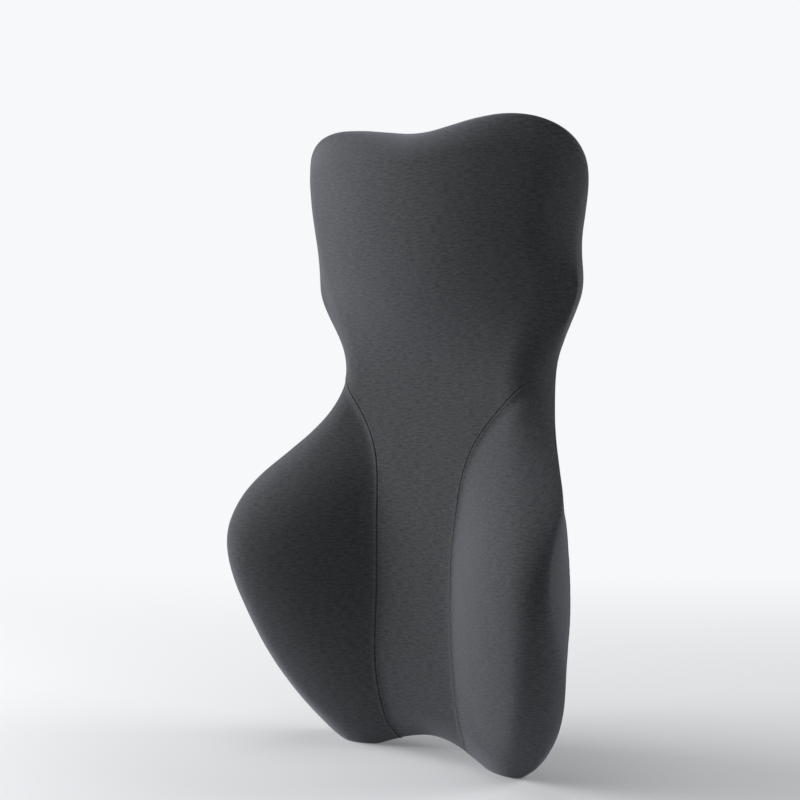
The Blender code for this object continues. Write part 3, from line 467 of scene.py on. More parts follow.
class Look:
    """A Principled material and the small node steps that its pattern is made of."""

    def __init__(self, name: str, colour: tuple[float, ...], roughness: float, metallic: float = 0.0) -> None:
        """Start the material.

        Args:
            name: the material's name.
            colour: linear base colour.
            roughness: surface roughness.
            metallic: 1 for metal.
        """
        self.material = bpy.data.materials.new(name)
        self.material.use_nodes = True
        self.nodes = self.material.node_tree.nodes
        self.links = self.material.node_tree.links
        self.shader = self.nodes["Principled BSDF"]
        self.shader.inputs["Base Color"].default_value = (*colour[:3], 1.0)
        self.shader.inputs["Roughness"].default_value = roughness
        self.shader.inputs["Metallic"].default_value = metallic
        self.material.diffuse_color = (*colour[:3], 1.0)

    def cloth(self) -> bpy.types.NodeSocket:
        """The place on the flat cloth, in metres, from the piece's UV map."""
        node = self.nodes.new("ShaderNodeUVMap")
        node.uv_map = "Cloth"
        return node.outputs["UV"]

    def space(self) -> bpy.types.NodeSocket:
        """The place in the object's own space."""
        return self.nodes.new("ShaderNodeTexCoord").outputs["Object"]

    def scaled(self, vector: bpy.types.NodeSocket, scale: tuple[float, ...]) -> bpy.types.NodeSocket:
        """The vector times a scale along each axis."""
        node = self.nodes.new("ShaderNodeMapping")
        node.inputs["Scale"].default_value = scale
        self.links.new(vector, node.inputs["Vector"])
        return node.outputs["Vector"]

    def mixed_vector(
        self, vector: bpy.types.NodeSocket, bend: bpy.types.NodeSocket, size: float
    ) -> bpy.types.NodeSocket:
        """The vector moved by a value times a size, so that straight lines wander."""
        moved = self.nodes.new("ShaderNodeVectorMath")
        moved.operation = "MULTIPLY_ADD"
        moved.inputs[1].default_value = (size, size, 0.0)
        self.links.new(bend, moved.inputs[0])
        self.links.new(vector, moved.inputs[2])
        return moved.outputs["Vector"]

    def noise(self, vector: bpy.types.NodeSocket, scale: float, detail: float) -> bpy.types.NodeSocket:
        """Fractal noise from 0 to 1."""
        node = self.nodes.new("ShaderNodeTexNoise")
        node.inputs["Scale"].default_value = scale
        node.inputs["Detail"].default_value = detail
        self.links.new(vector, node.inputs["Vector"])
        return node.outputs["Fac"]

    def cells(self, vector: bpy.types.NodeSocket) -> bpy.types.NodeSocket:
        """Distance to the nearest point of a Voronoi pattern."""
        node = self.nodes.new("ShaderNodeTexVoronoi")
        node.inputs["Scale"].default_value = 1.0
        self.links.new(vector, node.inputs["Vector"])
        return node.outputs["Distance"]

    def wave(self, vector: bpy.types.NodeSocket, axis: str) -> bpy.types.NodeSocket:
        """A sine from 0 to 1 with one crest for each unit of the axis."""
        node = self.nodes.new("ShaderNodeTexWave")
        node.wave_type = "BANDS"
        node.bands_direction = axis
        node.inputs["Scale"].default_value = pi / 10
        node.inputs["Distortion"].default_value = 0.0
        self.links.new(vector, node.inputs["Vector"])
        return node.outputs["Fac"]

    def sum_of(self, parts: list[tuple[bpy.types.NodeSocket, float]]) -> bpy.types.NodeSocket:
        """The sum of values, each times its own weight."""
        total = None
        for value, weight in parts:
            node = self.nodes.new("ShaderNodeMath")
            node.operation = "MULTIPLY_ADD"
            node.inputs[1].default_value = weight
            node.inputs[2].default_value = 0.0
            self.links.new(value, node.inputs[0])
            if total is not None:
                self.links.new(total, node.inputs[2])
            total = node.outputs[0]
        return total

    def ramp(self, value: bpy.types.NodeSocket, low: float, high: float) -> bpy.types.NodeSocket:
        """The value read as 0 at low and 1 at high."""
        node = self.nodes.new("ShaderNodeMapRange")
        node.inputs["From Min"].default_value = low
        node.inputs["From Max"].default_value = high
        self.links.new(value, node.inputs["Value"])
        return node.outputs["Result"]

    def part(self, vector: bpy.types.NodeSocket, axis: str) -> bpy.types.NodeSocket:
        """One of the vector's three parts."""
        node = self.nodes.new("ShaderNodeSeparateXYZ")
        self.links.new(vector, node.inputs["Vector"])
        return node.outputs[axis]

    def eased(self, value: bpy.types.NodeSocket, low: float, high: float) -> bpy.types.NodeSocket:
        """The value read as 0 at low and 1 at high, with an S curve between."""
        socket = self.ramp(value, low, high)
        socket.node.interpolation_type = "SMOOTHSTEP"
        return socket

    def colour_from(
        self, share: bpy.types.NodeSocket, first: tuple[float, ...], second: tuple[float, ...]
    ) -> None:
        """Set the base colour to a mix of two colours."""
        node = self.nodes.new("ShaderNodeMix")
        node.data_type = "RGBA"
        node.inputs[6].default_value = (*first[:3], 1.0)
        node.inputs[7].default_value = (*second[:3], 1.0)
        self.links.new(share, node.inputs[0])
        self.links.new(node.outputs[2], self.shader.inputs["Base Color"])

    def roughness_from(self, value: bpy.types.NodeSocket, low: float, high: float) -> None:
        """Let the roughness wander between two values."""
        node = self.nodes.new("ShaderNodeMapRange")
        node.inputs["To Min"].default_value = low
        node.inputs["To Max"].default_value = high
        self.links.new(value, node.inputs["Value"])
        self.links.new(node.outputs["Result"], self.shader.inputs["Roughness"])

    def bump(self, height: bpy.types.NodeSocket, depth: float, strength: float) -> None:
        """Give the surface a relief of that depth in metres."""
        node = self.nodes.new("ShaderNodeBump")
        node.inputs["Distance"].default_value = depth
        node.inputs["Strength"].default_value = strength
        self.links.new(height, node.inputs["Height"])
        self.links.new(node.outputs["Normal"], self.shader.inputs["Normal"])


# ================================================================ the cushion's form
@dataclass(frozen=True)
class CushionForm:
    """The cushion's outline, its front, back and edge, as functions of place."""

    height: float = 0.660
    head_half: float = 0.171
    neck_half: float = 0.1615
    shoulder_half: float = 0.16175
    waist_half: float = 0.1315
    wing_half: float = 0.1975
    top_dip: float = 0.010
    arch_height: float = 0.019
    arch_half: float = 0.060
    foot_half: float = 0.095
    foot_sink: float = 0.0045
    foot_depth: float = 0.053
    lumbar_depth: float = 0.085
    waist_depth: float = 0.065
    head_depth: float = 0.1195
    head_crown: float = 0.058
    wing_rise: float = 0.0806
    wing_crest: float = 0.861
    wing_back_rise: float = 0.108
    wing_rim_depth: float = 0.1485
    side_rim_depth: float = 0.024
    shoulder_rim_depth: float = 0.0347
    neck_rim_depth: float = 0.0378
    head_rim_depth: float = 0.0454
    top_rim_depth: float = 0.0785
    top_rim_crown: float = 0.0076
    foot_rim_depth: float = 0.060
    arch_rim_depth: float = 0.045
    top_back_taper: float = 0.035
    edge_radius: float = 0.0355
    seam_half: float = 0.0465
    seam_top_share: float = 0.597
    seam_inset: float = 0.018
    seam_softness: float = 0.05
    floor_softness: float = 0.0008

    def outline(self, count: int) -> Array:
        """Points of the right half of the outline, from the top dip to the arch.

        A natural spline runs through the outline's knots on both sides, over the square roots
        of the gaps between them. Its right half is then read at even distances along it.

        Args:
            count: how many points to give.

        Returns:
            (count, 2) places as x and z.
        """
        head, wing, tall = self.head_half, self.wing_half, self.height
        right = [
            (0.0, tall - self.top_dip),
            (0.18 * head, tall - 0.75 * self.top_dip),
            (0.606 * head, tall),
            (0.907 * head, 0.977 * tall),
            (head, 0.927 * tall),
            (self.neck_half, 0.812 * tall),
            (self.shoulder_half, 0.734 * tall),
            (self.waist_half, 0.634 * tall),
            (0.725 * wing, 0.535 * tall),
            (0.935 * wing, 0.450 * tall),
            (wing, 0.400 * tall),
            (wing, 0.282 * tall),
            (0.862 * wing, 0.1045 * tall),
            (0.638 * wing, 0.0126 * tall),
            (0.535 * wing, -0.6 * self.foot_sink),
            (self.foot_half, -self.foot_sink),
            (self.foot_half - 0.080 * wing, -0.6 * self.foot_sink),
            (self.arch_half - 0.01 * wing, 0.27 * self.arch_height),
            (0.0, self.arch_height),
        ]
        knots = np.array(right + [(-x, z) for x, z in reversed(right[1:-1])])
        total = len(knots)
        around = np.vstack([knots, knots, knots, knots[:1]])
        chord = np.linalg.norm(np.diff(np.vstack([knots, knots[:1]]), axis=0), axis=1) ** 0.5
        place = np.concatenate([[0.0], np.cumsum(np.tile(chord, 3))]) - chord.sum()
        dense = np.linspace(0.0, place[total + len(right) - 1], 6000)
        path = np.stack([natural_spline(list(zip(place, around[:, k])), dense) for k in (0, 1)], axis=1)
        length = np.concatenate([[0.0], np.cumsum(np.linalg.norm(np.diff(path, axis=0), axis=1))])
        even = np.linspace(0.0, length[-1], count)
        return np.stack([np.interp(even, length, path[:, k]) for k in (0, 1)], axis=1)

    def seam_x(self, z: Array) -> Array:
        """Half the width of the front centre panel at height z."""
        knots = [
            (0.03 * self.height, 0.90 * self.seam_half),
            (0.136 * self.height, 1.01 * self.seam_half),
            (0.273 * self.height, self.seam_half),
            (0.409 * self.height, 1.16 * self.seam_half),
            (0.515 * self.height, 1.63 * self.seam_half),
            (self.seam_top_share * self.height, 0.957 * self.waist_half),
        ]
        return natural_spline(knots, z)

    def reach(self, z: Array) -> Array:
        """The half width that the wings' rise is measured over at height z."""
        knots = [
            (0.0, 0.60 * self.wing_half),
            (0.121 * self.height, 0.843 * self.wing_half),
            (0.242 * self.height, self.wing_half),
            (0.379 * self.height, 1.035 * self.wing_half),
            (0.515 * self.height, 0.732 * self.wing_half),
            (0.636 * self.height, 0.626 * self.wing_half),
        ]
        return natural_spline(knots, z)

    def front_depth(self, x: Array, z: Array) -> Array:
        """Depth of the front: a spline in height, the wings' sine rise, and the head's crown."""
        tall, lumbar, head = self.height, self.lumbar_depth, self.head_depth
        knots = [
            (0.0, self.foot_depth),
            (0.121 * tall, 0.95 * lumbar),
            (0.242 * tall, lumbar),
            (0.379 * tall, 0.965 * lumbar),
            (0.515 * tall, 0.83 * lumbar),
            (0.636 * tall, self.waist_depth),
            (0.788 * tall, 0.90 * head),
            (0.924 * tall, head),
            (tall, 0.98 * head),
        ]
        shares = [(0.0, 0.25), (0.121, 0.507), (0.242, 0.886), (0.364, 1.0)]
        shares += [(0.485, 0.353), (0.606, 0.0), (0.667, 0.0)]
        rise = natural_spline([(place * tall, self.wing_rise * share) for place, share in shares], z)
        width = np.maximum(self.reach(z) - self.seam_x(z), 0.1 * self.wing_half)
        across = (np.abs(x) - self.seam_x(z)) / width
        across = 0.5 * (across + np.sqrt(across**2 + self.seam_softness**2))
        wing = rise * np.sin(np.clip(across / self.wing_crest, 0, 1.45) * pi / 2)
        crown = smooth_step((z / tall - 0.576) / 0.182) * self.head_crown * (x / self.head_half) ** 2
        return natural_spline(knots, z) + wing - crown

    def back_depth(self, x: Array, z: Array) -> Array:
        """Depth of the back: flat at the head, curving forward with the square of x behind the wings."""
        tall = self.height
        shares = [(0.0, 0.08), (0.121, 0.647), (0.242, 0.788), (0.364, 0.942)]
        shares += [(0.485, 0.633), (0.606, 0.114), (0.660, 0.0)]
        rise = natural_spline([(place * tall, self.wing_back_rise * share) for place, share in shares], z)
        rise = np.where(z < 0.660 * tall, np.maximum(rise, 0.0), 0.0)
        across = np.clip(np.abs(x) / self.reach(z), 0, 1.15)
        return rise * across**2 + self.top_back_taper * smooth_step((z / tall - 0.848) / 0.152)

    def rim_depth(self, x: Array, z: Array) -> Array:
        """Depth of the outermost line round the edge: a spline in height, lower at lobes and arch."""
        tall, wing, side = self.height, self.wing_rim_depth, self.side_rim_depth
        knots = [
            (0.0, self.foot_rim_depth),
            (0.121 * tall, 0.562 * wing),
            (0.242 * tall, 0.854 * wing),
            (0.364 * tall, wing),
            (0.485 * tall, 0.536 * wing),
            (0.591 * tall, side),
            (0.697 * tall, self.shoulder_rim_depth),
            (0.818 * tall, self.neck_rim_depth),
            (0.924 * tall, self.head_rim_depth),
            (tall, self.top_rim_depth),
        ]
        crown = self.top_rim_crown * (x / self.head_half) ** 2 * smooth_step((z / tall - 0.848) / 0.091)
        edge = natural_spline(knots, z) - crown
        arch = (1 - smooth_step(np.abs(x) / (1.15 * self.foot_half))) * (z < 0.3 * tall)
        return edge * (1 - arch) + self.arch_rim_depth * arch

    def place(self, x: Array, z: Array, inset: Array, back: bool) -> Array:
        """Points of the surface above places of the outline's plane.

        The depth runs from the rim's to the face's by a quarter circle over the edge radius,
        and heights near the floor are flattened onto it.

        Args:
            x: places across.
            z: heights.
            inset: distances inside the outline.
            back: True for the back face.

        Returns:
            Points as (x, depth, z) in the last axis.
        """
        level = np.clip(z, 0.0, self.height)
        rim = self.rim_depth(x, level)
        face = self.back_depth(x, level) if back else self.front_depth(x, level)
        depth = rim + (face - rim) * dome(inset / self.edge_radius)
        soft = 0.5 * (z + np.sqrt(z**2 + self.floor_softness**2))
        low = np.where(z < 0.01, soft, z)
        return np.stack([x, depth, low], axis=-1)


BACK_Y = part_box("back_panel_left")[1].y


def to_world(points: Array) -> Array:
    """Turn (x, depth, z) points into the shared frame, where depth runs towards -Y from the back."""
    return np.stack([points[..., 0], BACK_Y - points[..., 1], points[..., 2]], axis=-1)


NEAR_SEAM = (0.0003, 0.0007, 0.0012, 0.0018, 0.0026, 0.0037, 0.0052)


@dataclass
class Lattice:
    """A net of lines over the right half of the cushion, with a line along every seam.

    Columns run from the middle of the front outwards, round the edge and back to the middle of
    the back. Rows run round the cushion. The rows come in four bands: the front middle, the
    wing, the rounded edge and the back.
    """

    form: CushionForm
    spacing: float
    slot_half: float = 0.009
    slot: tuple[float, float] = (0.060, 0.325)
    seams: bool = True
    slant: float = 0.030
    slant_width: float = 0.085
    middle_low: float = 0.055
    middle_high: float = 0.605
    bands: dict[str, Array] = field(default_factory=dict)
    cloths: dict[str, Array] = field(default_factory=dict)

    def __post_init__(self) -> None:
        """Work out the columns, then each band's points and cloth places."""
        form = self.form
        self.loop = form.outline(2400)
        step = np.linalg.norm(np.diff(self.loop, axis=0), axis=1)
        self.length = np.concatenate([[0.0], np.cumsum(step)])
        whole = np.vstack([self.loop, self.loop[::-1] * [-1.0, 1.0]])[::6]
        self.fence = whole, np.roll(whole, -1, axis=0)
        top = form.seam_top_share * form.height
        upper = self.loop[:, 1] > 0.1 * form.height
        waist = self.length[np.argmin(np.abs(self.loop[:, 1] - top) + ~upper)]
        arch = self.length[np.argmin(np.abs(self.loop[:, 0] - 0.9 * form.seam_half) + upper)]
        near = NEAR_SEAM if self.seams else ()
        self.columns = stations(self.length[-1], self.spacing, [0.0, waist, arch, self.length[-1]], near)
        self.waist = int(np.argmin(np.abs(self.columns - waist)))
        self.arch = int(np.argmin(np.abs(self.columns - arch)))
        self.build_bands()

    def outline_at(self, distance: Array) -> tuple[Array, Array]:
        """Places on the outline and the unit directions into the cushion there.

        Args:
            distance: distances along the right half of the outline, from the top dip.

        Returns:
            The places and the directions.
        """
        reach = 0.004
        both = [
            np.stack([self.mirror_read(distance + step, axis) for axis in (0, 1)], axis=-1)
            for step in (-reach, reach)
        ]
        along = both[1] - both[0]
        along /= np.linalg.norm(along, axis=-1, keepdims=True)
        inward = np.stack([along[..., 1], -along[..., 0]], axis=-1)
        place = np.stack([self.mirror_read(distance, k) for k in (0, 1)], axis=-1)
        return place, inward

    def mirror_read(self, distance: Array, axis: int) -> Array:
        """One coordinate of the outline; past either end it carries on as the mirror image."""
        end = self.length[-1]
        sign = np.where((distance < 0) | (distance > end), -1.0 if axis == 0 else 1.0, 1.0)
        folded = np.abs(distance)
        folded = np.where(folded > end, 2 * end - folded, folded)
        return sign * np.interp(folded, self.length, self.loop[:, axis])

    def middle_line(self, slot_half: float) -> Array:
        """Each column's end on the middle line, as x and z.

        Heights along the middle follow the outline through a few pairs of matching places. With
        a slot, the line steps out to the slot's edge and back, and has columns at its corners.
        """
        form = self.form
        place, _ = self.outline_at(self.columns)
        share = self.columns / self.length[-1]
        drop = np.interp(
            place[:, 1],
            np.array([0.0, 0.06, 0.40, 0.64, 0.82, 0.95]) * form.height,
            [0.095, 0.115, 0.25, 0.418, 0.53, 0.565],
        )
        head = place[:, 1] > 0.95 * form.height
        top = np.maximum.accumulate(np.where(head, self.columns, 0.0)).max()
        drop = np.where(head, np.interp(self.columns, [0.0, top], [self.middle_high, 0.565]), drop)
        low = (share > 0.5) & (place[:, 1] < 0.06 * form.height)
        start = self.columns[low].min()
        under = np.interp(self.columns, [start, self.length[-1]], [0.115, self.middle_low])
        drop = np.where(low, under, drop)
        drop = np.minimum.accumulate(drop)
        drop += np.linspace(0.0, -1e-5, len(drop))
        x = np.zeros_like(drop)
        if slot_half == 0.0:
            return np.stack([x, drop], axis=1)
        low_z, high_z = self.slot
        corners = [0.0, high_z, high_z, low_z, low_z, 0.0]
        above, below = self.middle_high - high_z, low_z - self.middle_low
        spans = np.array([above, slot_half, high_z - low_z, slot_half, below])
        way = np.concatenate([[0.0], np.cumsum(spans)])
        z_at = np.array([self.middle_high, *corners[1:5], self.middle_low])
        x_at = np.array([0.0, 0.0, slot_half, slot_half, 0.0, 0.0])
        travel = (drop[0] - drop) / (drop[0] - drop[-1]) * way[-1]
        for corner in way[1:-1]:
            travel[np.argmin(np.abs(travel - corner))] = corner
        return np.stack([np.interp(travel, way, x_at), np.interp(travel, way, z_at)], axis=1)

    def build_bands(self) -> None:
        """Fill the four bands: each holds (rows, columns, 3) points as x, depth and z."""
        form = self.form
        turn = np.arccos(1 - form.seam_inset / form.edge_radius)
        place, inward = self.outline_at(self.columns)
        ring = place + inward * form.seam_inset
        middle = self.middle_line(0.0)
        seam = self.seam_places(ring, middle)
        gap = NEAR_SEAM if self.seams else (0.004,)
        self.bands["front"] = self.band(middle, seam, self.rows(0.12, gap, False, True), False)
        self.bands["wing"] = self.band(seam, ring, self.rows(0.12, gap, True, False), False)
        tight = np.array([0.0, *gap]) / (form.edge_radius * turn)
        way = np.linspace(-1, 1, 2 * max(8, int(0.055 / self.spacing)) + 1)
        way = np.unique(np.concatenate([way[way < 1 - 1.2 * tight.max()], 1 - tight]))
        bump = np.exp(-(((self.columns - self.columns[self.waist]) / self.slant_width) ** 2))
        shifted = self.columns[None] - self.slant * (0.5 + 0.5 * way)[:, None] * bump[None]
        edge_place, edge_in = self.outline_at(shifted)
        inset = form.edge_radius * (1 - np.cos(np.abs(way) * turn))
        flat = edge_place + edge_in * inset[:, None, None]
        depths = inset[:, None] + 0 * shifted
        front = form.place(flat[..., 0], flat[..., 1], depths, False)
        back = form.place(flat[..., 0], flat[..., 1], depths, True)
        self.bands["edge"] = np.where((way > 0)[:, None, None], back, front)
        hem = flat[-1]
        back_rows = self.rows(0.12, gap, True, True)
        self.bands["back"] = self.band(hem, self.middle_line(self.slot_half), back_rows, True)
        self.share_rows()
        self.unroll(middle)

    def share_rows(self) -> None:
        """Give neighbouring bands exactly the same points along the lines where they meet."""
        front, wing, edge, back = (self.bands[name] for name in ("front", "wing", "edge", "back"))
        outside = np.ones(len(self.columns), bool)
        outside[self.waist + 1 : self.arch] = False
        wing[-1] = edge[0]
        wing[:, outside] = edge[0, outside]
        front[-1, outside] = edge[0, outside]
        wing[0] = front[-1]
        back[0] = edge[-1]

    def rows(self, width: float, gap: tuple[float, ...], start: bool, end: bool) -> tuple:
        """How a band's rows are spread: the count of even rows, and the close rows at its ends."""
        even = np.linspace(0, 1, int(width / self.spacing) + 2)
        return even, np.array(gap), start, end

    def band(self, first: Array, last: Array, spread: tuple, back: bool) -> Array:
        """Points of a band between two lines of places.

        Each column runs straight in plan from its first place to its last. Its rows are even,
        except near a seam, where their distances from the seam are the close ones, or less
        where the column is short.

        Args:
            first: (columns, 2) places where the band starts.
            last: (columns, 2) places where it ends.
            spread: the rows, as rows() gives them.
            back: True for the back face.

        Returns:
            (rows, columns, 3) points.
        """
        even, gap, start, end = spread
        length = np.linalg.norm(last - first, axis=1)
        most = 0.30 * length
        close = gap[:, None] * np.minimum(1.0, most / gap.max())[None]
        low = np.vstack([0 * length[None], close]) if start else 0 * length[None]
        high = (np.vstack([close[::-1], 0 * length[None]]) if end else 0 * length[None]) * -1 + length[None]
        inner = even[1:-1, None] * (high[0] - low[-1])[None] + low[-1][None]
        away = np.vstack([low, inner, high])
        share = away / np.maximum(length, 1e-9)[None]
        plan = first[None] + (last - first)[None] * share[:, :, None]
        near = segment_distance(plan.reshape(-1, 2), *self.fence).reshape(plan.shape[:2])
        return self.form.place(plan[..., 0], plan[..., 1], np.minimum(near, self.form.edge_radius), back)

    def seam_places(self, ring: Array, middle: Array) -> Array:
        """Where each column crosses the front seam; outside the wing's columns, its place on the ring.

        The seam's own line is shifted at its two ends by cubes of the way along it, so that it
        meets the ring exactly.
        """
        top, low = ring[self.waist], ring[self.arch]
        z = np.linspace(top[1], low[1], 240)
        slide = np.linspace(0, 1, 240)
        x = self.form.seam_x(z)
        x = x + (top[0] - x[0]) * (1 - slide) ** 3 + (low[0] - x[-1]) * slide**3
        share = np.linspace(0, 1, 400)
        line = ring[:, None] + (middle - ring)[:, None] * share[None, :, None]
        limit = np.interp(line[..., 1], z[::-1], x[::-1])
        inside = line[..., 0] - limit <= 1e-9
        first = np.argmax(inside, axis=1)
        before = np.maximum(first - 1, 0)
        index = np.arange(len(ring))
        gap0 = (line[..., 0] - limit)[index, before]
        gap1 = (line[..., 0] - limit)[index, first]
        part = np.where(first > 0, gap0 / np.where(gap0 - gap1 == 0, 1.0, gap0 - gap1), 0.0)
        at = share[before] + part * (share[1] - share[0])
        found = ring + (middle - ring) * at[:, None]
        wing = (index > self.waist) & (index < self.arch)
        return np.where(wing[:, None], found, ring)

    def unroll(self, middle: Array) -> None:
        """Each band's places on the flat cloth: every column laid straight at its real length."""
        bands = self.bands
        start = middle
        travelled = np.zeros(len(middle))
        direction = bands["edge"][0][:, [0, 2]] - middle
        direction /= np.linalg.norm(direction, axis=1)[:, None]
        for name in ("front", "wing", "edge"):
            step = np.linalg.norm(np.diff(bands[name], axis=0), axis=2)
            way = travelled[None] + np.vstack([0 * step[:1], np.cumsum(step, axis=0)])
            self.cloths[name] = start[None] + direction[None] * way[:, :, None]
            travelled = way[-1]
        back = bands["back"][::-1]
        step = np.linalg.norm(np.diff(back, axis=0), axis=2)
        way = np.vstack([0 * step[:1], np.cumsum(step, axis=0)])[::-1]
        end = back[0][:, [0, 2]]
        heading = back[-1][:, [0, 2]] - end
        heading /= np.maximum(np.linalg.norm(heading, axis=1), 1e-9)[:, None]
        self.cloths["back"] = end[None] + heading[None] * way[:, :, None]

    def piece(self, name: str, first: int, last: int) -> Surface:
        """One band between two columns, facing out, in the shared frame."""
        points = to_world(self.bands[name][:, first : last + 1])
        return Surface.grid(points, self.cloths[name][:, first : last + 1])


# ================================================================ cover and filling
@dataclass
class Cover:
    """The knit cover: five panels whose edges turn down into the seams between them."""

    lattice: Lattice
    thickness: float = 0.0016
    stretch: float = 1.03
    seam_drop: float = 0.00055
    seam_width: float = 0.0008
    lip: float = 0.00050
    lip_width: float = 0.0013
    seam_end_x: float = 0.1195
    seam_fade: float = 0.006
    pucker: float = 0.00012
    unevenness: float = 0.00022
    finish: Knit = Knit()

    def half(self, panel: Panel) -> Surface:
        """The right half's undressed surface of one kind of panel."""
        lattice = self.lattice
        last = len(lattice.columns) - 1
        if panel is Panel.WING:
            wing = lattice.piece("wing", lattice.waist, lattice.arch)
            return wing.joined(lattice.piece("edge", lattice.waist, lattice.arch)).welded()
        if panel is Panel.BACK:
            return lattice.piece("back", 0, last).welded()
        head = lattice.piece("edge", 0, lattice.waist)
        arch = lattice.piece("edge", lattice.arch, last)
        return lattice.piece("front", 0, last).joined(head).joined(arch).welded()

    def seam_lines(self, surface: Surface, panel: Panel) -> tuple[Array, Array]:
        """The two ends of each open edge of a panel that is a seam.

        Args:
            surface: the panel's surface.
            panel: which panel it is; the front panel's edge on x = 0 is no seam.

        Returns:
            The first and second ends.
        """
        count = len(surface.points)
        edges = np.vstack([surface.quads[:, [i, (i + 1) % 4]] for i in range(4)])
        edges = edges[edges[:, 0] != edges[:, 1]]
        code = edges[:, 0] * count + edges[:, 1]
        back = edges[:, 1] * count + edges[:, 0]
        rim = edges[~np.isin(back, code)]
        ends = surface.points[rim[:, 0]], surface.points[rim[:, 1]]
        if panel is Panel.FRONT:
            keep = np.maximum(np.abs(ends[0][:, 0]), np.abs(ends[1][:, 0])) > 1e-6
            ends = ends[0][keep], ends[1][keep]
        return ends

    def dressed(self, surface: Surface, panel: Panel, mirrored: bool) -> Surface:
        """A panel with its edges turned down, small puckers along the seams, and its inner wall.

        The drop is a bell curve of the distance from the seam, with a low lip beside it. The
        puckers are a sine along the cloth that fades out within a few millimetres, and the
        unevenness is a sum of three long sines over the cushion.

        Args:
            surface: the right half's surface.
            panel: which panel it is.
            mirrored: True to add the left half, which the front panel does.

        Returns:
            The closed panel.
        """
        start, end = self.seam_lines(surface, panel)
        away = segment_distance(surface.points, start, end)
        normal = surface.normals()
        on_middle = np.abs(surface.points[:, 0]) < 1e-6
        if panel is Panel.FRONT:
            normal[on_middle, 0] = 0.0
            normal /= np.linalg.norm(normal, axis=1)[:, None]
        strength = self.seam_strength(surface.points)
        drop = -self.seam_drop * strength * np.exp(-((away / self.seam_width) ** 2))
        ridge = (away / self.lip_width) * np.exp(0.5 - 0.5 * (away / self.lip_width) ** 2)
        lip = self.lip * strength * ridge * (1.0 if panel is Panel.WING else 0.35)
        along = surface.cloth.sum(axis=1)
        fold = np.sin(along * 2 * pi / 0.011 + 2.0 * np.sin(along * 2 * pi / 0.047))
        pucker = self.pucker * fold * np.exp(-((away / 0.0065) ** 2)) * (1 - np.exp(-((away / 0.0012) ** 2)))
        lift = (drop + lip + pucker)[:, None] * normal
        outer = Surface(surface.points + lift, surface.quads, surface.cloth)
        inner = surface.points - normal * self.thickness
        if mirrored:
            both = outer.joined(outer.mirrored())
            inner = np.vstack([inner, inner * [-1.0, 1.0, 1.0]])
            outer, inner = self.weld_pair(both, inner)
        outer.points += self.waviness(outer.points)[:, None] * outer.normals()
        return shell(outer, inner)

    def seam_strength(self, points: Array) -> Array:
        """How deep the seam is: full along the front, and pulled nearly flat on the side above the wing."""
        past = smooth_step((np.abs(points[:, 0]) - self.seam_end_x) / self.seam_fade)
        level = smooth_step((points[:, 2] - 0.33) / 0.03)
        front = smooth_step((BACK_Y - 0.012 - points[:, 1]) / 0.006)
        return 1.0 - 0.94 * past * level * front

    def weld_pair(self, outer: Surface, inner: Array) -> tuple[Surface, Array]:
        """Join the two halves along x = 0, and keep each outer point's inner point."""
        key = np.round(outer.points / 2e-6).astype(np.int64)
        _, first, number = np.unique(key, axis=0, return_index=True, return_inverse=True)
        quads = number.reshape(-1)[outer.quads]
        return Surface(outer.points[first], quads, outer.cloth[first]), inner[first]

    def waviness(self, points: Array) -> Array:
        """How far the cloth stands proud: three long sines across the cushion."""
        x, y, z = points.T
        long = np.sin(61 * x + 23 * z + 0.6) * np.sin(47 * z - 31 * y + 1.9)
        short = np.sin(117 * x - 83 * z + 2.4 * np.sin(29 * z)) * np.sin(97 * z + 71 * x)
        return self.unevenness * (0.65 * long + 0.35 * short)

    def cut(self, cloth: Surface) -> tuple[tuple[float, float], float]:
        """The panel's flat cut before it was pulled on: its box and its area.

        The box comes from the longest arcs across and along the panel. The knit is pulled on by
        a few hundredths, so each length is divided by that stretch and the area by its square.

        Args:
            cloth: the finished panel, a shell with two faces.

        Returns:
            (width, length) in metres, and the area in square metres.
        """
        size = np.ptp(cloth.cloth, axis=0) / self.stretch
        return (float(size[0]), float(size[1])), min(cloth.area() / 2 / self.stretch**2, float(np.prod(size)))

    def build(self) -> list[bpy.types.Object]:
        """Make the five panels, each in place of its CAD node."""
        look = self.finish.build()
        made = []
        front = self.dressed(self.half(Panel.FRONT), Panel.FRONT, True)
        made.append(self.add("front_centre_cloth", front, "front_centre_panel", look))
        for panel, word in ((Panel.WING, "wing"), (Panel.BACK, "back")):
            right = self.dressed(self.half(panel), panel, False)
            for side in Side:
                cloth = right if side is Side.RIGHT else right.mirrored()
                made.append(self.add(f"{word}_cloth_{side.word}", cloth, f"{word}_panel_{side.word}", look))
        return made

    def add(self, name: str, cloth: Surface, node: str, look: bpy.types.Material) -> bpy.types.Object:
        """One finished panel: it rides on the cushion and stands for its node."""
        piece = mesh_object(name, cloth, look)
        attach(piece, "cushion")
        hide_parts(node)
        flat, area = self.cut(cloth)
        log.info("%s: %d faces, cut %.3f x %.3f m, %.4f m2", name, len(piece.data.polygons), *flat, area)
        return piece


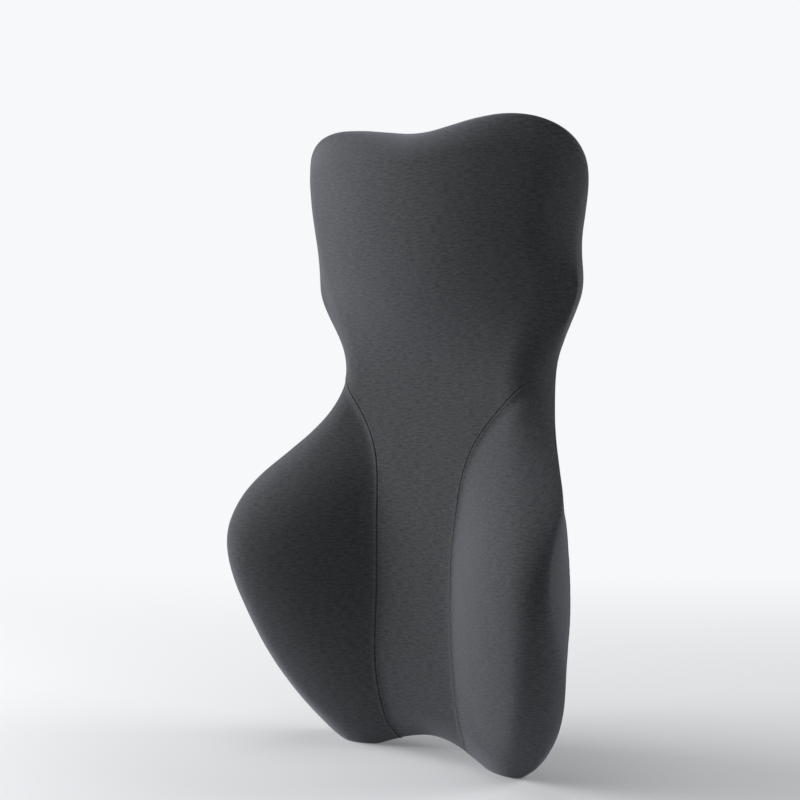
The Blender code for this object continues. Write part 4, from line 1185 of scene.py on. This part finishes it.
@dataclass
class Filling:
    """What the cover holds: the moulded foam core and the thin liner round it."""

    form: CushionForm
    spacing: float = 0.0042
    liner_offset: float = 0.0023
    liner_thickness: float = 0.0008
    foam_offset: float = 0.0038
    liner_cut: tuple[float, float] = (0.80, 0.70)
    slot_half: float = 0.009

    def whole(self, slot_half: float) -> Surface:
        """The cushion's whole surface on both sides, with or without the zip's slot."""
        lattice = Lattice(self.form, self.spacing, slot_half=slot_half, seams=False)
        last = len(lattice.columns) - 1
        right = lattice.piece("front", 0, last)
        for name in ("wing", "edge", "back"):
            right = right.joined(lattice.piece(name, 0, last))
        return right.joined(right.mirrored()).welded()

    def sunk(self, surface: Surface, depth: float) -> Array:
        """The surface's points set in by a depth, also where it turns more tightly than that.

        Each point moves against its normal. One that lands too near another part of the surface,
        or past it, is set in again from the nearest face there.

        Args:
            surface: the base surface, with its faces out.
            depth: how far in, in metres.

        Returns:
            (n, 3) points.
        """
        tree = BVHTree.FromPolygons(surface.points.tolist(), surface.quads.tolist())
        points = surface.points - surface.normals() * depth
        waiting = range(len(points))
        for _ in range(4):
            moved = []
            for number in waiting:
                place, normal, _, _ = tree.find_nearest(Vector(points[number]))
                if (place - Vector(points[number])).dot(normal) < 0.85 * depth:
                    points[number] = place - normal * depth
                    moved.append(number)
            waiting = moved
        return points

    def build(self) -> list[bpy.types.Object]:
        """Make the foam and the liner, each in place of its CAD node."""
        solid = face_out(self.whole(0.0))
        foam = Surface(self.sunk(solid, self.foam_offset), solid.quads, solid.cloth)
        core = mesh_object("moulded_foam_core", face_out(foam), Foam().build())
        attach(core, "cushion")
        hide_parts("foam_core")
        open_bag = self.whole(self.slot_half)
        outer = Surface(self.sunk(open_bag, self.liner_offset), open_bag.quads, open_bag.cloth)
        inner = self.sunk(open_bag, self.liner_offset + self.liner_thickness)
        weave = Weave("liner_white", (0.70, 0.70, 0.68), rib=0.0008, pick=0.0008, relief=0.0001)
        bag = mesh_object("liner_bag", shell(outer, inner), weave.build())
        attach(bag, "cushion")
        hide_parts("inner_liner")
        log.info("foam and liner: %d and %d faces", len(core.data.polygons), len(bag.data.polygons))
        return [core, bag]


# ================================================================ zip
@dataclass
class Zip:
    """The back zip: two woven tapes, two rows of teeth, stops, a slider and its pull tab."""

    pitch: float = 0.0015
    tooth: float = 0.00095
    tape_rib: float = 0.00009

    def build(self) -> list[bpy.types.Object]:
        """Make the tapes and teeth, and dress the metal CAD nodes."""
        tape_weave = Weave("zip_tape_weave", (0.034, 0.035, 0.037), rib=0.0011, pick=0.0007, relief=0.00012)
        weave = tape_weave.build()
        plastic = Moulded("zip_teeth_plastic", (0.026, 0.026, 0.028), 0.38).build()
        metal = CastMetal().build()
        made = []
        for side in Side:
            made.append(self.tape(side, weave))
            made.append(self.teeth(side, plastic))
        for node in ("zip_top_stop", "zip_bottom_stop", "zip_slider", "zip_pull_tab"):
            dress(node, metal)
        return made

    def tape(self, side: Side, look: bpy.types.Material) -> bpy.types.Object:
        """One tape: a closed band whose outer face has fine ridges across its width."""
        low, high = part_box(f"zip_tape_{side.word}")
        across = np.linspace(0.0, 1.0, 33)
        along = np.linspace(low.z, high.z, 133)
        width = high.x - low.x
        ridge = self.tape_rib * np.cos(across * 2 * pi * 6) * np.sin(pi * across)
        x = low.x + across * width
        front = np.stack([x, high.y - self.tape_rib + ridge], axis=1)
        rear = np.stack([x[::-1], np.full(33, low.y)], axis=1)
        ring = np.vstack([front, rear])
        middle = ring.mean(axis=0)
        rings = np.concatenate([[middle + 0 * ring], np.repeat(ring[None], 133, axis=0), [middle + 0 * ring]])
        z = np.concatenate([[along[0]], along, [along[-1]]])
        points = np.concatenate([rings, z[:, None, None] + 0 * rings[:, :, :1]], axis=2)
        cloth = np.stack([points[..., 0], points[..., 2]], axis=-1)
        surface = face_out(Surface.grid(points, cloth, closed=True).welded(1e-7))
        piece = mesh_object(f"zip_band_{side.word}", surface, look)
        piece.data.set_sharp_from_angle(angle=radians(50))
        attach(piece, "cushion")
        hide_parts(f"zip_tape_{side.word}")
        return piece

    def teeth(self, side: Side, look: bpy.types.Material) -> bpy.types.Object:
        """One row of teeth: rounded bars, each leaning half a pitch towards the other row."""
        low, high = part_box(f"zip_coil_{side.word}")
        count = int((high.z - low.z - self.tooth) / self.pitch)
        radius = self.tooth / 2
        near = np.array([0.0, 0.02, 0.25, 0.75, 0.98, 1.0])
        swell = np.array([0.0, 0.78, 1.0, 1.0, 0.78, 0.0])
        x = low.x + near * (high.x - low.x)
        angle = np.linspace(0, 2 * pi, 8, endpoint=False)
        half = (high.y - low.y) / 2
        ring_y = np.cos(angle)[None] * half * swell[:, None]
        ring_z = np.sin(angle)[None] * radius * swell[:, None] + side.value * 0.0001 * near[:, None]
        points = np.stack([x[:, None] + 0 * ring_y, ring_y, ring_z], axis=-1)
        bar = face_out(Surface.grid(points, points[..., :2], closed=True).welded(1e-8))
        shift = 0.25 * self.pitch * side.value
        first = low.z + radius + 0.25 * self.pitch + 0.0001
        z = first + shift + self.pitch * np.arange(count)
        moves = np.stack([0 * z, np.full(count, (low.y + high.y) / 2), z], axis=1)
        piece = mesh_object(f"zip_teeth_{side.word}", many(bar, moves), look)
        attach(piece, "cushion")
        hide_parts(f"zip_coil_{side.word}")
        log.info("zip teeth %s: %d", side.word, count)
        return piece


def dress(node: str, look: bpy.types.Material) -> None:
    """Give a CAD node its material."""
    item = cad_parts[node]
    item.data.materials.clear()
    item.data.materials.append(look)


# ================================================================ strap
@dataclass
class BackStrap:
    """The elastic strap across the back: anchors, webbing, buckle, adjuster, keeper and stitches."""

    z: float = 0.448
    width: float = 0.030
    thickness: float = 0.0014
    end_x: float = 0.106
    bar_radius: float = 0.00145
    bar_ease: float = 0.0004
    ribbon_depth: float = -0.0027
    fold_depth: float = -0.0044
    bar_depth: float = -0.00525
    socket_bar_x: float = -0.05855
    plug_bar_x: float = -0.00565
    left_fold_x: float = -0.08855
    right_fold_x: float = 0.076
    still_x: float = 0.030
    moving_x: float = 0.004
    thread: float = 0.00032
    stitch: float = 0.0026

    def route(self, end_x: float, bar_x: float, fold_x: float) -> Array:
        """The webbing's middle line as (x, depth): flat to the bar, half round it, and back.

        Args:
            end_x: the sewn end.
            bar_x: the middle of the bar.
            fold_x: the folded end.

        Returns:
            (n, 2) points, close together.
        """
        way = np.sign(end_x - bar_x)
        radius = self.bar_radius + self.bar_ease + self.thickness / 2
        turn = np.linspace(pi / 2, -pi / 2, 15)
        arc = np.stack([bar_x - way * radius * np.cos(turn), self.bar_depth + radius * np.sin(turn)], axis=1)
        arc[0] = (bar_x, self.ribbon_depth)
        first = np.linspace((end_x, self.ribbon_depth), (bar_x + way * 0.0006, self.ribbon_depth), 40)
        share = np.linspace(0, 1, 10)
        ramp = np.stack(
            [
                bar_x + way * (0.003 + 0.008 * share),
                self.bar_depth - radius + (self.fold_depth - self.bar_depth + radius) * smooth_step(share),
            ],
            axis=1,
        )
        last = np.linspace(ramp[-1] + [way * 0.0008, 0.0], (fold_x, self.fold_depth), 30)
        return np.vstack([first, arc, ramp, last])

    def webbing(self, name: str, path: Array, look: bpy.types.Material) -> bpy.types.Object:
        """A webbing band: an oblong section with soft ribs, carried along its route.

        The section's half thickness is that of a flat oblong with rounded edges, less a small
        cosine of the place across. The two end rings close to a point.

        Args:
            name: the piece's name.
            path: the middle line as (x, depth).
            look: the material.

        Returns:
            The piece.
        """
        along = np.gradient(path, axis=0)
        along /= np.linalg.norm(along, axis=1)[:, None]
        side = np.stack([-along[:, 1], along[:, 0]], axis=1)
        across = np.sin(np.linspace(-pi / 2, pi / 2, 61))
        across = np.clip(0.5 * across + 0.5 * np.linspace(-1, 1, 61), -1, 1)
        edge = np.clip((1 - np.abs(across)) * self.width / 2 / (self.thickness / 2), 0, 1)
        rib = 0.00005 * (0.5 - 0.5 * np.cos(across * pi * 9))
        half = (self.thickness / 2 - rib) * np.sqrt(1 - (1 - edge) ** 2)
        lift = np.concatenate([half, -half[-2:0:-1]])
        place = np.concatenate([across, across[-2:0:-1]]) * self.width / 2
        rings = path[:, None] + side[:, None] * lift[None, :, None]
        points = np.concatenate([rings, self.z + place[None, :, None] + 0 * rings[:, :, :1]], axis=2)
        ends = [np.concatenate([path[i] + 0 * rings[i], points[i][:, 2:]], axis=1) for i in (0, -1)]
        first, last = (e * [1, 1, 0] + [0, 0, self.z] for e in ends)
        points = np.concatenate([[first], [ends[0] * 0.4 + points[0] * 0.6], points[1:], [last]])
        length = np.concatenate([[0.0], np.cumsum(np.linalg.norm(np.diff(points[:, 0], axis=0), axis=1))])
        cloth = np.stack([place[None] + 0 * length[:, None], length[:, None] + 0 * place[None]], axis=-1)
        surface = face_out(Surface.grid(to_world(points), cloth, closed=True).welded(1e-7))
        piece = mesh_object(name, surface, look)
        piece.data.set_sharp_from_angle(angle=radians(60))
        return piece

    def pad(self, side: Side, look: bpy.types.Material) -> bpy.types.Object:
        """An anchor patch: an oblong cloth pad with rounded corners and a rounded edge.

        Its outline is a superellipse of the eighth power. The rings shrink inwards over the
        outer face as the thickness rises by a quarter circle.

        Args:
            side: which patch.
            look: the cloth.

        Returns:
            The piece.
        """
        low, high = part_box(f"strap_anchor_{side.word}")
        centre = (low + high) / 2
        half = (high - low) / 2
        angle = np.linspace(0, 2 * pi, 120, endpoint=False)
        power = 2 / 9
        oval = np.stack([sign_power(np.cos(angle), power), sign_power(np.sin(angle), power)], axis=1)
        inset = np.array([1.0, 0.55, 0.2, 0.0, 0.0, 0.15, 0.5, 1.0]) * half.y
        rise = np.array([-1.0, -0.97, -0.8, -0.5, 0.3, 0.75, 0.95, 1.0]) * half.y
        size = np.array([half.x, half.z])[None] - inset[:, None]
        rows = [np.concatenate([oval * s, np.full((120, 1), r)], axis=1) for s, r in zip(size, rise)]
        under = [rows[0] * [share, share, 1] for share in (0.0, 0.4)]
        over = [rows[-1] * [share, share, 1] for share in (0.7, 0.4, 0.0)]
        rows = under + rows + over
        grid = np.array(rows)
        points = grid[..., [0, 2, 1]] + np.array(centre)
        surface = face_out(Surface.grid(points, grid[..., :2], closed=True).welded(1e-7))
        piece = mesh_object(f"anchor_pad_{side.word}", surface, look)
        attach(piece, "cushion")
        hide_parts(f"strap_anchor_{side.word}")
        return piece

    def loop(self, look: bpy.types.Material) -> bpy.types.Object:
        """The keeper: an elastic band closed round the two layers of webbing.

        Its section across the strap is an oblong ring with rounded corners. Across its own
        length the wall swells by a sine, so that its two edges are soft.

        Args:
            look: the webbing's material.

        Returns:
            The piece.
        """
        low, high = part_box("strap_keeper")
        centre, half = (low + high) / 2, (high - low) / 2
        wall = 0.00095
        angle = np.linspace(0, 2 * pi, 96, endpoint=False)
        power = 2 / 12
        oval = np.stack([sign_power(np.cos(angle), power), sign_power(np.sin(angle), power)], axis=1)
        turn = np.linspace(0, 2 * pi, 20, endpoint=False)
        place = sign_power(np.cos(turn), 0.5) * half.x
        depth = wall / 2 * (1 - sign_power(np.sin(turn), 0.6))
        size = np.array([half.y, half.z])[None] - depth[:, None]
        points = np.empty((21, 96, 3))
        points[:20, :, 0] = centre.x + place[:, None]
        points[:20, :, 1] = centre.y + oval[None, :, 0] * size[:, 0:1]
        points[:20, :, 2] = centre.z + oval[None, :, 1] * size[:, 1:2]
        points[20] = points[0]
        run = np.concatenate([place, place[:1]])[:, None] + 0 * points[..., 0]
        around = angle[None] * half.z / 2 + 0 * run
        surface = face_out(Surface.grid(points, np.stack([run, around], axis=-1), closed=True).welded(1e-8))
        piece = mesh_object("keeper_loop", surface, look)
        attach(piece, "keeper")
        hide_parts("strap_keeper")
        return piece

    def stitches(self, name: str, path: Array, look: bpy.types.Material) -> bpy.types.Object:
        """A row of thread stitches along corners given as (x, depth, z).

        Args:
            name: the piece's name.
            path: (n, 3) corners of the sewn line.
            look: the thread's material.

        Returns:
            The piece, one small arched tube for each stitch.
        """
        legs = []
        for start, end in zip(path[:-1], path[1:]):
            run = np.linalg.norm(end - start)
            count = max(1, int(round(run / self.stitch)))
            share = np.linspace(0, 1, 7)
            first = start + (end - start) * ((np.arange(count) + 0.12) / count)[:, None]
            one = (end - start)[None] * (share * 0.76 / count)[:, None]
            arch = np.sin(pi * share) * self.thread * 0.9
            line = one + np.stack([0 * arch, -arch, 0 * arch], axis=1)
            radius = self.thread * (0.35 + 0.65 * np.sin(pi * share))
            bead = tube(to_world(line) - [0.0, BACK_Y, 0.0], radius, 7)
            legs.append(many(bead, to_world(first)))
        total = legs[0]
        for leg in legs[1:]:
            total = total.joined(leg)
        piece = mesh_object(name, total, look)
        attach(piece, "cushion")
        return piece

    def box_of_stitches(self, side: Side, look: bpy.types.Material) -> bpy.types.Object:
        """The crossed square that holds a sewn end to its patch."""
        outer, inner = self.end_x - 0.003, self.end_x - 0.020
        high = self.width / 2 - 0.003
        depth = self.ribbon_depth - self.thickness / 2 - 0.1 * self.thread
        square = [(outer, -high), (outer, high), (inner, high), (inner, -high), (outer, -high)]
        corners = square + [(inner, high), (outer, high), (inner, -high)]
        path = np.array([(side.value * x, depth, self.z + z) for x, z in corners])
        piece = self.stitches(f"anchor_stitches_{side.word}", path, look)
        return piece

    def build(self) -> list[bpy.types.Object]:
        """Make the soft pieces and dress the buckle's CAD nodes."""
        elastic_weave = Weave("strap_elastic", (0.020, 0.020, 0.022), rib=0.0019, pick=0.0011, relief=0.00025)
        elastic = elastic_weave.build()
        patch = Knit("anchor_knit", (0.036, 0.037, 0.040), (0.080, 0.082, 0.086), sheen=0.2).build()
        thread_weave = Weave("sewing_thread", (0.050, 0.051, 0.054), rib=0.0003, pick=0.0004, relief=0.00006)
        thread = thread_weave.build()
        plastic = Moulded().build()
        made = [self.pad(side, patch) for side in Side]
        left_route = self.route(-self.end_x, self.socket_bar_x, self.left_fold_x)
        right_route = self.route(self.end_x, self.plug_bar_x, self.right_fold_x)
        left = self.webbing("webbing_left", left_route, elastic)
        right = self.webbing("webbing_right", right_route, elastic)
        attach(left, "cushion")
        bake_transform(right)
        for piece, side in ((left, Side.LEFT), (right, Side.RIGHT)):
            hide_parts(f"strap_{side.word}")
            made.append(piece)
        made += [self.box_of_stitches(side, thread) for side in Side]
        made.append(self.loop(elastic))
        for node in ("buckle_socket", "buckle_plug", "strap_adjuster"):
            dress(node, plastic)
        return made


def sign_power(value: Array, power: float) -> Array:
    """The value's size raised to a power, with its sign kept."""
    return np.sign(value) * np.abs(value) ** power


# ================================================================ studio
@dataclass(frozen=True)
class Studio:
    """A plain pale floor, three soft lights and the camera."""

    turn: float = 34.0
    pan: float = 2.61
    pitch: float = -2.81
    distance: float = 1.4435
    camera_height: float = 0.445
    lens: float = 60.4
    aim_height: float = 0.33
    lamp_reach: float = 2.0
    backdrop: tuple[float, ...] = (0.930, 0.938, 0.956, 1.0)
    floor_colour: tuple[float, ...] = (0.80, 0.81, 0.83)

    def build(self) -> None:
        """Make the camera, the lights, the surroundings and the floor."""
        self.camera()
        self.lights()
        self.surroundings()
        self.floor()
        bpy.context.scene.view_settings.view_transform = "Standard"

    def camera(self) -> None:
        """Camera on a circle round the middle of the back plane."""
        data = bpy.data.cameras.new("camera")
        data.lens = self.lens
        data.sensor_width = 36.0
        made = bpy.data.objects.new("camera", data)
        angle, heading = radians(self.turn), radians(self.turn + self.pan)
        made.location = (self.distance * sin(angle), BACK_Y - self.distance * cos(angle), self.camera_height)
        made.rotation_euler = (pi / 2 + radians(self.pitch), 0.0, heading)
        bpy.context.scene.collection.objects.link(made)
        bpy.context.scene.camera = made

    def lamp(self, name: str, azimuth: float, elevation: float, size: float, power: float) -> None:
        """A square soft light aimed at the cushion's middle.

        Args:
            name: the light's name.
            azimuth: 0 at the front (-Y), 90 at +X, in degrees.
            elevation: above the horizon, in degrees.
            size: the square's side.
            power: watts.
        """
        data = bpy.data.lights.new(name, "AREA")
        data.size = size
        data.energy = power
        made = bpy.data.objects.new(name, data)
        a, e = radians(azimuth), radians(elevation)
        away = Vector((sin(a) * cos(e), -cos(a) * cos(e), sin(e)))
        made.location = Vector((0.0, 0.0, self.aim_height)) + away * self.lamp_reach
        made.rotation_euler = (-away).to_track_quat("-Z", "Y").to_euler()
        bpy.context.scene.collection.objects.link(made)

    def lights(self) -> None:
        """Key from the left, a weak top light and a rim light from behind on the right."""
        self.lamp("key", -57.0, 15.0, 1.1, 50.0)
        self.lamp("top", -20.0, 80.0, 1.2, 13.0)
        self.lamp("rim", 118.0, 26.0, 0.9, 17.0)

    def surroundings(self) -> None:
        """A near-white backdrop to look at, and a dimmer even light."""
        world = bpy.data.worlds.new("studio")
        bpy.context.scene.world = world
        world.use_nodes = True
        nodes, links = world.node_tree.nodes, world.node_tree.links
        seen = nodes["Background"]
        seen.inputs["Color"].default_value = self.backdrop
        seen.inputs["Strength"].default_value = 1.0
        glow = nodes.new("ShaderNodeBackground")
        glow.inputs["Color"].default_value = (0.90, 0.94, 1.0, 1.0)
        glow.inputs["Strength"].default_value = 0.03
        path = nodes.new("ShaderNodeLightPath")
        choice = nodes.new("ShaderNodeMixShader")
        links.new(path.outputs["Is Camera Ray"], choice.inputs["Fac"])
        links.new(glow.outputs["Background"], choice.inputs[1])
        links.new(seen.outputs["Background"], choice.inputs[2])
        links.new(choice.outputs["Shader"], nodes["World Output"].inputs["Surface"])

    def floor(self) -> None:
        """A wide pale floor that turns into the backdrop's own tone further back."""
        look = Look("studio_floor", self.floor_colour, 0.6)
        # Painted light: the floor glows in the backdrop's colour, a little near the cushion and fully far
        # back, while its own colour fades to black, so that it blends into the backdrop.
        far = look.eased(look.part(look.cloth(), "Y"), -0.25, 1.15)
        look.colour_from(far, self.floor_colour, (0.0, 0.0, 0.0))
        look.shader.inputs["Specular IOR Level"].default_value = 0.0
        look.shader.inputs["Emission Color"].default_value = self.backdrop
        glow = look.ramp(far, -0.06, 1.0)
        look.links.new(glow, look.shader.inputs["Emission Strength"])
        heading = radians(self.turn + self.pan)
        across = np.linspace(-7, 7, 15)
        run = np.linspace(-3, 12, 40)
        side = np.array([cos(heading), sin(heading), 0.0])
        ahead = np.array([-sin(heading), cos(heading), 0.0])
        points = across[None, :, None] * side + run[:, None, None] * ahead
        cloth = np.stack([across[None] + 0 * run[:, None], run[:, None] + 0 * across[None]], axis=-1)
        surface = Surface.grid(points, cloth)
        if surface.normals()[0, 2] < 0:
            surface.quads = surface.quads[:, ::-1]
        mesh_object("studio_floor", surface, look.material)


def main() -> None:
    """Build the studio and the cushion's pieces."""
    Studio().build()
    spacing = 0.0030
    form = CushionForm()
    Cover(Lattice(form, spacing)).build()
    Filling(form).build()
    Zip().build()
    BackStrap().build()


if __name__ == "__main__":
    logging.basicConfig(level=logging.INFO, format="%(name)s: %(message)s")
    main()
